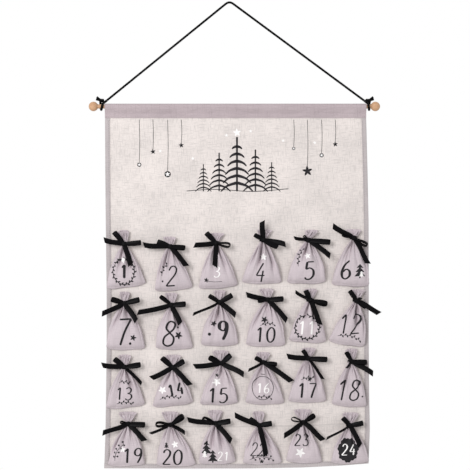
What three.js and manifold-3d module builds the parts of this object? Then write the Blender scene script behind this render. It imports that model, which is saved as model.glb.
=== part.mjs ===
// Fabric advent calendar: a cotton wall banner on a wooden dowel, hung by a cord, with 24 tied bags.
// Millimetres, +Z up, +X to the right as seen from the front, +Y towards the wall.
// The origin is the hanging point, where the cord bends over its nail or hook.
import * as THREE from "three";
import { mergeVertices } from "three/addons/utils/BufferGeometryUtils.js";
import Module from "manifold-3d";

// Driving sizes of the whole banner
const bannerWidth = 500;
const bannerDrop = 694;
const hangDrop = 198.5;
const hangOffset = 14.6;
const fitGap = 0.3;

// Dowel and its two end balls
const dowelRadius = 4;
const ballRadius = 9;
const leftBallReach = 22.9;
const rightBallReach = 12.9;
const ballBoreShare = 0.45;

// Hanging cord and its two hitches on the dowel
const cordRadius = 2;
const cordBendRadius = 9;
const cordStep = 10;
const leadClearance = 2.4;
const leftWrapPitch = 8.4;
const rightWrapPitch = 5.4;
const wrapTurns = 0.75;
const knotLength = 10;
const knotHeight = 5;
const knotDepth = 7;
const knotRise = 11.4;
const tailLength = 9;
const tailRadiusShare = 0.8;
const tailWayShares = [[0.9, 0.55], [1, 0.2]];

// Cloths of the banner, from the front panel to the lining
const clothPlane = 2.9;
const panelThickness = 1;
const liningThickness = 0.8;
const bindingThickness = 1;
const bindingWidth = 9;
const foldHeight = 0.8;
const foldFade = 30;
const pocketDrop = 27;
const seamTuck = 6;
const seamBlend = 2;

// Bags and their places
const columnPitch = 86.2;
const rowPitch = 115;
const gridOffset = 4;
const lastRowRise = 86.4;
const bagWidth = 73;
const bagDrop = 82;
const bagDepth = 19;
const seamDepth = 3;
const neckWidth = 11.6;
const neckDepth = 9;
const waistHeight = 6.4;
const mouthWidth = 24.7;
const mouthHeight = 22.5;
const mouthDepth = 10;
const mouthSlopeShare = 0.7;
const bottomSag = 1.5;
const softSquareShare = 0.8;
const roundSquareShare = 1;

// Ribbons
const ribbonWidth = 9;
const ribbonThickness = 1.1;
const loopThickness = 3;
const bowReach = 40;
const bowKnotWidth = 7.5;
const bowKnotDepth = 3.4;
const bowKnotHeightShare = 0.75;
const bowSlopeShare = 0.2;
const bowRiseShare = 0.12;
const loopBulgeShare = 0.04;
const tailBulgeShare = 0.03;
const armAlongShares = [0, 0.35, 0.7, 1];
const armWidthShares = [0.5, 0.85, 1, 0.95];

// Counts
const columns = 6;
const rows = 4;
const ringSides = 10;
const ballSides = 20;
const ballArcs = 9;
const dowelSides = 20;
const pocketArcs = 9;
const cordSides = 8;
const wrapSides = 6;
const wrapStepsPerTurn = 24;
const bendSteps = 6;
const panelColumns = 24;

// Outline of the banner: how far down (share) and how far the edge stands out (share of the binding)
const edgeDownShares = [0, 0.15, 0.3, 0.5, 0.65, 0.8, 0.9, 1];
const leftEdgeOutShares = [0.15, 0.08, -0.02, -0.2, -0.2, -0.08, 0.06, 0.3];
const rightEdgeOutShares = [-0.46, -0.18, 0.05, 0.09, 0.09, 0.18, 0.32, 0.06];
const bottomAcrossShares = [0, 0.3, 0.55, 0.75, 0.9, 1];
const bottomUpShares = [0.02, -0.03, 0, 0.2, 0.62, 1.05];

// Rows of the front panel's mesh, with the three that carry the cross crease
const panelDownShares = [0, 0.1, 0.2, 0.3, 0.4, 0.5, 0.6, 0.7, 0.8, 0.86, 0.886, 0.912, 1];
const creaseDownShare = 0.886;
const creaseHeightShare = 0.55;
const foldFullShare = 0.35;

// One bag per line: knot off the grid (shares of the pitches), left and right corner (shares of the
// bag's width and drop, from the knot), mouth lean, mouth height and mouth width (shares of the mouth)
const bagShares = [
  { knot: [-0.03, -0.035], left: [-0.46, 1.05], right: [0.56, 0.94], mouth: [-0.06, 1.18, 0.7] },
  { knot: [-0.02, -0.075], left: [-0.39, 1.05], right: [0.585, 0.97], mouth: [-0.04, 0.85, 0.85] },
  { knot: [-0.01, -0.02], left: [-0.44, 1.07], right: [0.57, 1.0], mouth: [0.06, 0.89, 1.0] },
  { knot: [0.03, 0.03], left: [-0.56, 1.0], right: [0.48, 1.0], mouth: [0.08, 0.93, 1.07] },
  { knot: [0.02, 0.03], left: [-0.545, 1.0], right: [0.455, 1.0], mouth: [0.28, 0.89, 0.92] },
  { knot: [0.02, 0.065], left: [-0.57, 1.09], right: [0.4, 1.13], mouth: [-0.02, 0.76, 1.2] },
  { knot: [-0.02, -0.01], left: [-0.47, 1.08], right: [0.53, 1.07], mouth: [0, 0.97, 0.77] },
  { knot: [0.01, -0.04], left: [-0.4, 1.03], right: [0.56, 1.02], mouth: [-0.02, 1.03, 0.92] },
  { knot: [0.07, 0.005], left: [-0.48, 1.01], right: [0.48, 1.0], mouth: [0, 1.03, 0.85] },
  { knot: [0.125, 0.05], left: [-0.56, 1.08], right: [0.455, 1.08], mouth: [-0.08, 0.93, 1.07] },
  { knot: [0.06, 0.04], left: [-0.545, 0.95], right: [0.415, 1.0], mouth: [0.04, 0.97, 0.92] },
  { knot: [0.08, 0.03], left: [-0.72, 0.96], right: [0.21, 1.08], mouth: [0.1, 0.97, 1.0] },
  { knot: [-0.02, -0.06], left: [-0.49, 0.99], right: [0.52, 0.9], mouth: [0, 1.01, 0.89] },
  { knot: [0.04, -0.07], left: [-0.52, 0.94], right: [0.52, 0.84], mouth: [0.02, 1.06, 1.07] },
  { knot: [0.11, 0], left: [-0.56, 0.97], right: [0.43, 0.95], mouth: [-0.06, 1.06, 1.2] },
  { knot: [0.03, 0.015], left: [-0.455, 0.97], right: [0.545, 0.97], mouth: [0, 0.85, 1.0] },
  { knot: [0.02, 0.08], left: [-0.52, 1.02], right: [0.47, 1.02], mouth: [0.06, 0.89, 1.0] },
  { knot: [-0.03, 0.03], left: [-0.505, 1.02], right: [0.4, 1.07], mouth: [0.04, 1.06, 0.85] },
  { knot: [0.06, 0.005], left: [-0.53, 1.0], right: [0.43, 0.97], mouth: [-0.06, 0.97, 1.3] },
  { knot: [0, -0.01], left: [-0.365, 0.98], right: [0.65, 0.96], mouth: [-0.1, 1.06, 1.2] },
  { knot: [-0.02, 0.015], left: [-0.43, 0.96], right: [0.53, 0.94], mouth: [-0.02, 1.06, 1.07] },
  { knot: [-0.06, -0.02], left: [-0.415, 0.92], right: [0.6, 0.9], mouth: [-0.04, 1.14, 0.85] },
  { knot: [-0.09, 0.03], left: [-0.44, 0.94], right: [0.49, 0.96], mouth: [-0.04, 1.06, 1.2] },
  { knot: [-0.065, -0.025], left: [-0.48, 0.9], right: [0.505, 0.87], mouth: [0.08, 1.06, 1.2] },
];

// Ends of each bow from its knot, as shares of its reach: left loop, right loop, left and right tail,
// then the width of each of the four as a share of the ribbon's width
const bowShares = [
  { ends: [[-0.43, 0.57], [0.8, 0.03], [-0.93, 0.19], [0.33, -1]], widths: [1, 1, 1, 1] },
  { ends: [[-0.57, 0.24], [0.71, -0.1], [-1.24, 0.07], [0.79, -0.93]], widths: [1, 1, 1, 1] },
  { ends: [[-0.43, 0.49], [0.67, -0.14], [-1.02, -0.1], [-0.05, -1.1]], widths: [1, 1, 1, 1] },
  { ends: [[-0.4, 0.26], [0.67, -0.33], [-0.05, 0.88], [1.05, -0.21]], widths: [0.8, 1.2, 1, 1] },
  { ends: [[-0.22, 0.21], [1.02, -0.14], [-0.67, 0.1], [1.02, -0.76]], widths: [0.6, 1, 0.4, 1] },
  { ends: [[-0.55, 0.19], [0.6, -0.38], [-1, 0.56], [0.64, -1.21]], widths: [0.7, 0.8, 1, 1] },
  { ends: [[-0.6, 0.21], [0.71, 0.14], [-1.05, -0.5], [0.58, -0.84]], widths: [1, 1, 1, 1] },
  { ends: [[-0.5, 0.43], [0.67, 0.02], [-1.58, -0.35], [0.43, -0.88]], widths: [0.8, 1, 1, 1] },
  { ends: [[-0.48, 0.33], [0.6, 0.31], [-1.25, -0.56], [0.76, -0.6]], widths: [0.8, 1, 0.5, 1] },
  { ends: [[-0.45, -0.05], [0.74, 0], [-1, 0.23], [0.9, -0.98]], widths: [0.8, 1, 1, 1] },
  { ends: [[-0.19, 0.46], [0.79, -0.21], [-0.7, 0.4], [0.44, -1.13]], widths: [1, 1, 0.4, 1] },
  { ends: [[-0.31, 0.48], [0.43, -0.31], [0.2, 0.14], [1.05, -0.6]], widths: [0.9, 0.9, 0.6, 1] },
  { ends: [[-0.45, 0.4], [0.76, 0.08], [-1.05, 0.09], [0.83, -0.77]], widths: [1, 1, 1, 0.5] },
  { ends: [[-0.48, 0.48], [0.55, 0.29], [-1, -0.49], [0.83, -0.81]], widths: [1, 1, 1, 1] },
  { ends: [[-0.57, 0.31], [0.45, 0.38], [-1.28, -0.14], [1.06, -0.52]], widths: [1, 1, 1, 1] },
  { ends: [[-0.36, 0.24], [0.64, -0.12], [-0.71, -0.36], [1.33, -0.88]], widths: [0.8, 0.8, 0.4, 1] },
  { ends: [[-0.24, 0.4], [0.88, -0.08], [-1, 0.11], [0.67, -0.95]], widths: [0.8, 1, 1, 0.5] },
  { ends: [[-0.24, 0.46], [0.71, -0.07], [-0.25, -0.3], [1, -0.56]], widths: [0.8, 1, 0.6, 1] },
  { ends: [[-0.36, 0.1], [0.79, -0.08], [-1.19, -0.42], [0.8, -0.78]], widths: [0.6, 1, 1, 1] },
  { ends: [[-0.71, 0.05], [0.62, 0.41], [-0.96, -0.4], [0.67, -0.37]], widths: [1, 1.1, 0.5, 0.5] },
  { ends: [[-0.6, 0.26], [0.7, 0.07], [-1.31, 0.17], [0.75, -0.83]], widths: [0.8, 1, 1, 1] },
  { ends: [[-0.43, 0.33], [0.59, 0.07], [-1.15, 0.5], [0.31, -1.38]], widths: [0.9, 1, 1, 1] },
  { ends: [[-0.55, 0.21], [0.55, 0.33], [-0.92, -0.62], [0.92, -0.82]], widths: [0.8, 0.9, 1, 1] },
  { ends: [[-0.33, 0.38], [0.61, 0.1], [-1.12, -0.58], [0.47, -0.93]], widths: [0.9, 1, 0.5, 1] },
];

// Heights (share of the drop above the bottom seam), widths and depths (shares) of a bag's rings, and
// how far each lies forward from the cloth's ridges to the bindings
const bagRingShares = [
  { height: 0, width: 0.975, depth: 0, forward: 1 },
  { height: 0.14, width: 1, depth: 0.62, forward: 1 },
  { height: 0.36, width: 0.85, depth: 1, forward: 0 },
  { height: 0.6, width: 0.62, depth: 0.9, forward: 0 },
  { height: 0.82, width: 0.34, depth: 0.6, forward: 0 },
];

const materials = {
  panel: new THREE.MeshStandardMaterial({ color: 0xe1d9d6, roughness: 0.95, metalness: 0 }),
  lining: new THREE.MeshStandardMaterial({ color: 0xc4b7bb, roughness: 0.95, metalness: 0 }),
  pocket: new THREE.MeshStandardMaterial({ color: 0xb3a5a9, roughness: 0.95, metalness: 0 }),
  binding: new THREE.MeshStandardMaterial({ color: 0xcbc3c3, roughness: 0.95, metalness: 0 }),
  bag: new THREE.MeshStandardMaterial({ color: 0xc8bec3, roughness: 0.95, metalness: 0 }),
  ribbon: new THREE.MeshStandardMaterial({ color: 0x141416, roughness: 0.45, metalness: 0 }),
  cord: new THREE.MeshStandardMaterial({ color: 0x121214, roughness: 0.8, metalness: 0 }),
  wood: new THREE.MeshStandardMaterial({ color: 0xe1b187, roughness: 0.6, metalness: 0 }),
};

const wasm = await Module();
wasm.setup();

// Turns a geometry with only positions into a solid that can be joined and cut.
function toSolid(geometry) {
  const plain = geometry.clone();
  plain.deleteAttribute("normal");
  plain.deleteAttribute("uv");
  const merged = mergeVertices(plain);
  const vertProperties = new Float32Array(merged.attributes.position.array);
  const triVerts = new Uint32Array(merged.index.array);
  return new wasm.Manifold(new wasm.Mesh({ numProp: 3, vertProperties, triVerts }));
}

// Turns a solid back into a geometry.
function fromSolid(solid) {
  const mesh = solid.getMesh();
  const geometry = new THREE.BufferGeometry();
  geometry.setAttribute("position", new THREE.BufferAttribute(mesh.vertProperties, mesh.numProp));
  geometry.setIndex(new THREE.BufferAttribute(mesh.triVerts, 1));
  geometry.computeVertexNormals();
  return geometry;
}

function joinAll(geometries) {
  return fromSolid(geometries.map(toSolid).reduce((joined, next) => joined.add(next)));
}

// Makes a closed geometry from points and triangles, and turns it over if its faces point inwards.
function closedGeometry(points, triangles) {
  let volume = 0;
  for (const [a, b, c] of triangles) {
    volume += points[a].dot(new THREE.Vector3().crossVectors(points[b], points[c]));
  }
  const outward = volume > 0 ? triangles : triangles.map(([a, b, c]) => [a, c, b]);
  const geometry = new THREE.BufferGeometry().setFromPoints(points);
  geometry.setIndex(outward.flat());
  geometry.computeVertexNormals();
  return geometry;
}

// Triangles between the rings of a row, ring by ring, and home to the first ring if it is closed.
function skinTriangles(rings, closed) {
  const sides = rings[0].length;
  const triangles = [];
  const spans = closed ? rings.length : rings.length - 1;
  for (let ring = 0; ring < spans; ring += 1) {
    const here = ring * sides;
    const next = ((ring + 1) % rings.length) * sides;
    for (let side = 0; side < sides; side += 1) {
      const turn = (side + 1) % sides;
      triangles.push([here + side, here + turn, next + turn]);
      triangles.push([here + side, next + turn, next + side]);
    }
  }
  return triangles;
}

// Skins an open row of rings and closes both ends with the same cap, triangles on one ring's points.
function cappedGeometry(rings, cap) {
  const last = (rings.length - 1) * rings[0].length;
  const triangles = skinTriangles(rings, false);
  for (const [a, b, c] of cap) {
    triangles.push([a, c, b], [last + a, last + b, last + c]);
  }
  return closedGeometry(rings.flat(), triangles);
}

// Skins rings whose ends are closed by a fan, as on a tube, a strip or a bag.
function loftGeometry(rings) {
  const fan = [];
  for (let side = 1; side < rings[0].length - 1; side += 1) {
    fan.push([0, side, side + 1]);
  }
  return cappedGeometry(rings, fan);
}

// Reads a table of shares at one place, straight between its stations.
function alongTable(stations, values, share) {
  let index = 1;
  while (index < stations.length - 1 && stations[index] < share) {
    index += 1;
  }
  const part = (share - stations[index - 1]) / (stations[index] - stations[index - 1]);
  return THREE.MathUtils.lerp(values[index - 1], values[index], part);
}

// Extrudes an outline drawn in Y and Z along X.
function extrudeAlongX(outline, startX, endX) {
  const shape = new THREE.Shape(outline);
  const geometry = new THREE.ExtrudeGeometry(shape, { depth: endX - startX, bevelEnabled: false });
  const turned = new THREE.Matrix4().set(0, 0, 1, startX, 1, 0, 0, 0, 0, 1, 0, 0, 0, 0, 0, 1);
  return geometry.applyMatrix4(turned);
}

function addMesh(parent, name, geometry, material) {
  const mesh = new THREE.Mesh(geometry, material.clone());
  mesh.name = name;
  parent.add(mesh);
  return mesh;
}

// Places shared by the pieces, measured from the dowel's axis under the hanging point
const pocketInner = dowelRadius + fitGap;
const pocketOuter = pocketInner + bindingThickness;
const seamLevel = pocketOuter - pocketDrop;
const panelTop = seamLevel + seamTuck;
const bottomLevel = pocketOuter - bannerDrop;
const leftEdge = hangOffset - bannerWidth / 2;
const rightEdge = hangOffset + bannerWidth / 2;
const leftBallX = leftEdge - leftBallReach;
const rightBallX = rightEdge + rightBallReach;
const panelBack = clothPlane + panelThickness;
const liningFront = panelBack + fitGap;
const liningBack = liningFront + liningThickness;
const clothInset = bindingThickness + fitGap;

function leftEdgeAt(downShare) {
  return leftEdge - bindingWidth * alongTable(edgeDownShares, leftEdgeOutShares, downShare);
}

function rightEdgeAt(downShare) {
  return rightEdge + bindingWidth * alongTable(edgeDownShares, rightEdgeOutShares, downShare);
}

function bottomAt(acrossShare) {
  return bottomLevel + bindingWidth * alongTable(bottomAcrossShares, bottomUpShares, acrossShare);
}

function levelAt(downShare, acrossShare) {
  return THREE.MathUtils.lerp(seamLevel, bottomAt(acrossShare), downShare);
}

// The dowel runs from one ball's bore to the other's.
function dowelGeometry() {
  const endReach = ballRadius * ballBoreShare - fitGap;
  const length = rightBallX - leftBallX + 2 * endReach;
  const geometry = new THREE.CylinderGeometry(dowelRadius, dowelRadius, length, dowelSides);
  geometry.rotateZ(Math.PI / 2);
  return geometry.translate((leftBallX + rightBallX) / 2, 0, 0);
}

// A ball with a blind bore for the dowel. Its mouth looks along +Y before it is turned.
function ballGeometry(mouthDirection) {
  const boreRadius = dowelRadius + fitGap;
  const mouthAngle = Math.asin(boreRadius / ballRadius);
  const profile = [new THREE.Vector2(0, -ballRadius)];
  for (let arc = 1; arc <= ballArcs; arc += 1) {
    const angle = Math.PI - ((Math.PI - mouthAngle) * arc) / ballArcs;
    profile.push(new THREE.Vector2(ballRadius * Math.sin(angle), ballRadius * Math.cos(angle)));
  }
  profile.push(new THREE.Vector2(boreRadius, -ballRadius * ballBoreShare));
  profile.push(new THREE.Vector2(0, -ballRadius * ballBoreShare));
  const geometry = new THREE.LatheGeometry(profile, ballSides);
  return geometry.rotateZ((-mouthDirection * Math.PI) / 2);
}

// Angle on a circle about the origin where a straight line from a point outside touches it.
function tangentAngle(point, radius, side) {
  return Math.atan2(point.y, point.x) + side * Math.acos(radius / point.length());
}

// One wall of the pocket's section: up the front leg, over the dowel and down the back leg.
function pocketWall(radius, frontY, backY) {
  const joinLevel = panelTop + seamBlend;
  const frontJoin = new THREE.Vector2(frontY, joinLevel);
  const backJoin = new THREE.Vector2(backY, joinLevel);
  const startAngle = tangentAngle(frontJoin, radius, -1) + 2 * Math.PI;
  const endAngle = tangentAngle(backJoin, radius, 1);
  const wall = [new THREE.Vector2(frontY, seamLevel), frontJoin];
  for (let arc = 0; arc <= pocketArcs; arc += 1) {
    const angle = THREE.MathUtils.lerp(startAngle, endAngle, arc / pocketArcs);
    wall.push(new THREE.Vector2(radius * Math.cos(angle), radius * Math.sin(angle)));
  }
  wall.push(backJoin, new THREE.Vector2(backY, seamLevel));
  return wall;
}

// The rod pocket is one band of cloth folded over the dowel, open below for the banner's top edge.
function pocketGeometry() {
  const inner = pocketWall(pocketInner, clothPlane - fitGap, liningBack + fitGap);
  const frontOuter = clothPlane - fitGap - bindingThickness;
  const outer = pocketWall(pocketOuter, frontOuter, liningBack + fitGap + bindingThickness);
  return extrudeAlongX([...inner, ...outer.reverse()], leftEdgeAt(0), rightEdgeAt(0));
}

// How far the front panel stands off its plane: soft ridges under the columns of bags that pull the
// cloth, which grow from the top seam down to the first row, and one cross crease.
function foldAt(x, downShare) {
  const firstColumn = hangOffset + gridOffset - (columnPitch * (columns - 1)) / 2;
  const ridge = Math.cos((Math.PI * (x - firstColumn)) / columnPitch) ** 2;
  const growth = Math.min(downShare / foldFullShare, 1);
  const isCrease = downShare === creaseDownShare;
  const crease = isCrease ? creaseHeightShare : 0;
  const edgeRoom = Math.min(x - leftEdge, rightEdge - x) - 2 * bindingWidth;
  const fade = THREE.MathUtils.clamp(edgeRoom / foldFade, 0, 1);
  return foldHeight * fade * Math.max(ridge * growth, crease);
}

// The front panel is a thin sheet on a grid that follows the banner's edges.
function panelGeometry() {
  const rings = panelDownShares.map((downShare, rowIndex) => {
    const isTop = rowIndex === 0;
    const isBottom = rowIndex === panelDownShares.length - 1;
    const front = [];
    const back = [];
    for (let step = 0; step <= panelColumns; step += 1) {
      const across = step / panelColumns;
      const left = leftEdgeAt(downShare) + clothInset;
      const right = rightEdgeAt(downShare) - clothInset;
      const x = THREE.MathUtils.lerp(left, right, across);
      const lift = isTop ? seamTuck : isBottom ? clothInset : 0;
      const z = levelAt(downShare, across) + lift;
      const fold = isTop || isBottom ? 0 : foldAt(x, downShare);
      front.push(new THREE.Vector3(x, clothPlane - fold, z));
      back.push(new THREE.Vector3(x, panelBack - fold, z));
    }
    return [...front, ...back.reverse()];
  });
  return sheetGeometry(rings);
}

// Skins rings that run out along the front and home along the back of a sheet.
function sheetGeometry(rings) {
  const sides = rings[0].length;
  const cap = [];
  for (let step = 0; step < sides / 2 - 1; step += 1) {
    const mate = sides - 1 - step;
    cap.push([step, step + 1, mate], [step + 1, mate - 1, mate]);
  }
  return cappedGeometry(rings, cap);
}

// The lining is a plain flat cloth of the banner's outline.
function liningGeometry() {
  const outline = [];
  for (const downShare of edgeDownShares) {
    const lift = downShare === 0 ? seamTuck : 0;
    const z = levelAt(downShare, 0) + (downShare === 1 ? clothInset : lift);
    outline.push(new THREE.Vector3(leftEdgeAt(downShare) + clothInset, 0, z));
  }
  for (const acrossShare of bottomAcrossShares.slice(1, -1)) {
    const x = THREE.MathUtils.lerp(leftEdgeAt(1), rightEdgeAt(1), acrossShare);
    outline.push(new THREE.Vector3(x, 0, bottomAt(acrossShare) + clothInset));
  }
  for (const downShare of [...edgeDownShares].reverse()) {
    const lift = downShare === 0 ? seamTuck : 0;
    const z = levelAt(downShare, 1) + (downShare === 1 ? clothInset : lift);
    outline.push(new THREE.Vector3(rightEdgeAt(downShare) - clothInset, 0, z));
  }
  const shape = new THREE.Shape(outline.map((point) => new THREE.Vector2(point.x, point.z)));
  const geometry = new THREE.ExtrudeGeometry(shape, { depth: liningThickness, bevelEnabled: false });
  return geometry.rotateX(Math.PI / 2).translate(0, liningBack, 0);
}

// Section of a binding folded round the cloth's edge: distance in from the edge, and Y.
function bindingSection() {
  const frontInner = clothPlane - fitGap;
  const backInner = liningBack + fitGap;
  return [
    [0, frontInner - bindingThickness],
    [bindingWidth, frontInner - bindingThickness],
    [bindingWidth, frontInner],
    [bindingThickness, frontInner],
    [bindingThickness, backInner],
    [bindingWidth, backInner],
    [bindingWidth, backInner + bindingThickness],
    [0, backInner + bindingThickness],
  ];
}

// Skins the binding's section through its stations. The two ends are capped as a U.
function bindingGeometry(stations) {
  const rings = stations.map((place) => bindingSection().map(([inset, y]) => place(inset, y)));
  return cappedGeometry(rings, [[0, 1, 2], [0, 2, 3], [0, 3, 4], [0, 4, 7], [4, 5, 6], [4, 6, 7]]);
}

function sideBindingGeometry(edgeAt, acrossShare, inward) {
  const height = seamLevel - bottomAt(acrossShare);
  const firstShare = fitGap / height;
  const lastShare = 1 - (bindingWidth + fitGap) / height;
  const stations = [firstShare, ...edgeDownShares.slice(1, -1), lastShare];
  return bindingGeometry(stations.map((downShare) => (inset, y) => {
    const x = edgeAt(downShare) + inward * inset;
    return new THREE.Vector3(x, y, levelAt(downShare, acrossShare));
  }));
}

function bottomBindingGeometry() {
  return bindingGeometry(bottomAcrossShares.map((acrossShare) => (inset, y) => {
    const x = THREE.MathUtils.lerp(leftEdgeAt(1), rightEdgeAt(1), acrossShare);
    return new THREE.Vector3(x, y, bottomAt(acrossShare) + inset);
  }));
}

// Regular rings set square to a path, carried along it without twist.
function tubeRings(points, radius, sides) {
  const rings = [];
  let across = new THREE.Vector3(0, 1, 0);
  points.forEach((point, index) => {
    const before = points[Math.max(index - 1, 0)];
    const after = points[Math.min(index + 1, points.length - 1)];
    const along = new THREE.Vector3().subVectors(after, before).normalize();
    across = across.clone().addScaledVector(along, -across.dot(along)).normalize();
    const other = new THREE.Vector3().crossVectors(along, across);
    const ring = [];
    for (let side = 0; side < sides; side += 1) {
      const angle = (2 * Math.PI * side) / sides;
      const spoke = across.clone().multiplyScalar(Math.cos(angle)).addScaledVector(other, Math.sin(angle));
      ring.push(point.clone().addScaledVector(spoke, radius));
    }
    rings.push(ring);
  });
  return rings;
}

function tubeGeometry(points, radius, sides) {
  return loftGeometry(tubeRings(points, radius, sides));
}

// Least gap of a tube to itself, between points that lie more than a few radii apart along it.
function leastGap(points, radius) {
  let least = Infinity;
  const reach = points.map(() => 0);
  for (let index = 1; index < points.length; index += 1) {
    reach[index] = reach[index - 1] + points[index].distanceTo(points[index - 1]);
  }
  for (let first = 0; first < points.length; first += 1) {
    for (let second = first + 1; second < points.length; second += 1) {
      if (reach[second] - reach[first] > 2 * Math.PI * radius) {
        least = Math.min(least, points[first].distanceTo(points[second]) - 2 * radius);
      }
    }
  }
  return least;
}

// The cord's run from a hitch: it meets the dowel's top beside the banner and slopes to the nail.
function runLine(topX) {
  const wrapRadius = dowelRadius + fitGap + cordRadius;
  const start = new THREE.Vector3(topX, 0, wrapRadius);
  const nail = new THREE.Vector3(0, 0, hangDrop + cordRadius);
  const along = new THREE.Vector3().subVectors(nail, start).normalize();
  const joint = start.clone().addScaledVector(along, 4 * cordRadius);
  return { start, along, joint, wrapRadius };
}

// A hitch is one unbroken strand: in along the run, once round the dowel and up into the knot.
function hitchPoints(topX, outward, pitch) {
  const { along, joint, wrapRadius } = runLine(topX);
  const inner = joint.clone().addScaledVector(along, -2 * cordRadius);
  const strand = [joint.clone(), inner];
  const steps = Math.round(wrapStepsPerTurn * wrapTurns);
  const leadSteps = 2;
  for (let step = leadSteps; step <= steps; step += 1) {
    const turn = (step / wrapStepsPerTurn) * 2 * Math.PI;
    const x = topX + (outward * pitch * step) / wrapStepsPerTurn;
    const y = -wrapRadius * Math.sin(turn);
    strand.push(new THREE.Vector3(x, y, wrapRadius * Math.cos(turn)));
  }
  const end = strand[strand.length - 1];
  strand.push(new THREE.Vector3(end.x, end.y, cordRadius * 2));
  strand.push(new THREE.Vector3(end.x, end.y - cordRadius, wrapRadius + cordRadius));
  strand.push(new THREE.Vector3(end.x, end.y - 2 * cordRadius, knotRise));
  return strand;
}

// The knot on top of a hitch, a short barrel, with the two cut tails that stand out of it.
function hitchGeometry(topX, outward, pitch) {
  const strand = hitchPoints(topX, outward, pitch);
  const gap = leastGap(strand, cordRadius);
  console.log(`${outward < 0 ? "left" : "right"} hitch: least gap of the strand ${gap.toFixed(2)} mm`);
  const end = strand[strand.length - 1];
  const knot = new THREE.Vector3(end.x - (outward * knotLength) / 4, end.y, knotRise);
  const barrel = new THREE.SphereGeometry(knotLength / 2, ringSides, ringSides / 2);
  barrel.scale(1, knotDepth / knotLength, knotHeight / knotLength).translate(knot.x, knot.y, knot.z);
  const tails = tailWayShares.map(([outShare, upShare]) => {
    const way = new THREE.Vector3(outward * outShare, 0, upShare).normalize();
    const from = knot.clone().addScaledVector(way, cordRadius);
    const middle = from.clone().addScaledVector(way, tailLength / 2);
    const tip = from.clone().addScaledVector(way, tailLength);
    tip.z += cordRadius * upShare;
    return tubeGeometry([from, middle, tip], cordRadius * tailRadiusShare, wrapSides);
  });
  return joinAll([tubeGeometry(strand, cordRadius, wrapSides), barrel, ...tails]);
}

// Route of the hanging cord: straight from one hitch, round the nail in a small bend, and down.
function cordGeometry(leftTopX, rightTopX) {
  const left = runLine(leftTopX);
  const right = runLine(rightTopX);
  const from = left.joint.clone().addScaledVector(left.along, fitGap);
  const to = right.joint.clone().addScaledVector(right.along, fitGap);
  const nail = new THREE.Vector3(0, 0, hangDrop + cordRadius);
  const leftBend = nail.clone().addScaledVector(left.along, -cordBendRadius);
  const rightBend = nail.clone().addScaledVector(right.along, -cordBendRadius);
  const points = [];
  const leftSteps = Math.round(from.distanceTo(leftBend) / cordStep);
  for (let step = 0; step < leftSteps; step += 1) {
    points.push(from.clone().lerp(leftBend, step / leftSteps));
  }
  const bend = new THREE.QuadraticBezierCurve3(leftBend, nail, rightBend);
  points.push(...bend.getPoints(bendSteps));
  const rightSteps = Math.round(to.distanceTo(rightBend) / cordStep);
  for (let step = 1; step <= rightSteps; step += 1) {
    points.push(rightBend.clone().lerp(to, step / rightSteps));
  }
  return tubeGeometry(points, cordRadius, cordSides);
}

// One level ring of a soft form: a squared oval from its back face to its front, tilted by a height.
function softRing(centreX, width, backY, depth, squareness, levelOf) {
  const ring = [];
  for (let side = 0; side < ringSides; side += 1) {
    const angle = (2 * Math.PI * side) / ringSides;
    const acrossShare = Math.sign(Math.cos(angle)) * Math.abs(Math.cos(angle)) ** squareness;
    const frontShare = (1 + Math.sign(Math.sin(angle)) * Math.abs(Math.sin(angle)) ** squareness) / 2;
    const x = centreX + (acrossShare * width) / 2;
    ring.push(new THREE.Vector3(x, backY - frontShare * depth, levelOf(acrossShare, frontShare)));
  }
  return ring;
}

// Places across a bag's depth, from the plane of the panel's front: its back lies on the cloth's
// ridges above and on the bindings below.
const bagBack = -foldHeight - fitGap;
const bagFoot = -bindingThickness - 2 * fitGap;
const neckBack = bagBack - ribbonThickness - fitGap;
const neckFront = neckBack - neckDepth;
const bowPlane = neckFront - fitGap - bowKnotDepth / 2;

// A bag from its bottom seam up to the tied neck, and the gathered mouth above it. Origin: the knot.
function bagGeometry({ left, right, mouth }) {
  const leftX = left[0] * bagWidth;
  const rightX = right[0] * bagWidth;
  const rings = bagRingShares.map(({ height, width, depth, forward }) => {
    const down = 1 - height;
    const centreX = ((leftX + rightX) / 2) * down;
    const ringDepth = seamDepth + (bagDepth - seamDepth) * depth;
    const backY = THREE.MathUtils.lerp(bagBack, bagFoot, forward);
    return softRing(centreX, (rightX - leftX) * width, backY, ringDepth, softSquareShare, (across) => {
      const drop = THREE.MathUtils.lerp(left[1], right[1], (1 + across) / 2) * bagDrop;
      const sag = height === 0 ? bottomSag * (1 - across ** 2) : 0;
      return -drop * down - sag;
    });
  });
  for (const level of [-waistHeight / 2, waistHeight / 2]) {
    rings.push(softRing(0, neckWidth, neckBack, neckDepth, roundSquareShare, () => level));
  }
  const [leanShare, heightShare, widthShare] = mouth;
  const top = mouthHeight * heightShare;
  const lean = mouthWidth * leanShare;
  const openWidth = mouthWidth * widthShare;
  const middleWidth = (neckWidth + openWidth) / 2;
  const middleLevel = (waistHeight / 2 + top) / 2 - mouthDepth * mouthSlopeShare / 3;
  const middleDepth = (neckDepth + mouthDepth) / 2;
  const middleBack = (neckBack + bagBack) / 2;
  rings.push(softRing(lean / 2, middleWidth, middleBack, middleDepth, roundSquareShare, () => middleLevel));
  rings.push(softRing(lean, openWidth, bagBack, mouthDepth, roundSquareShare, (across, front) => {
    return top - front * mouthDepth * mouthSlopeShare;
  }));
  return loftGeometry(rings);
}

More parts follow.
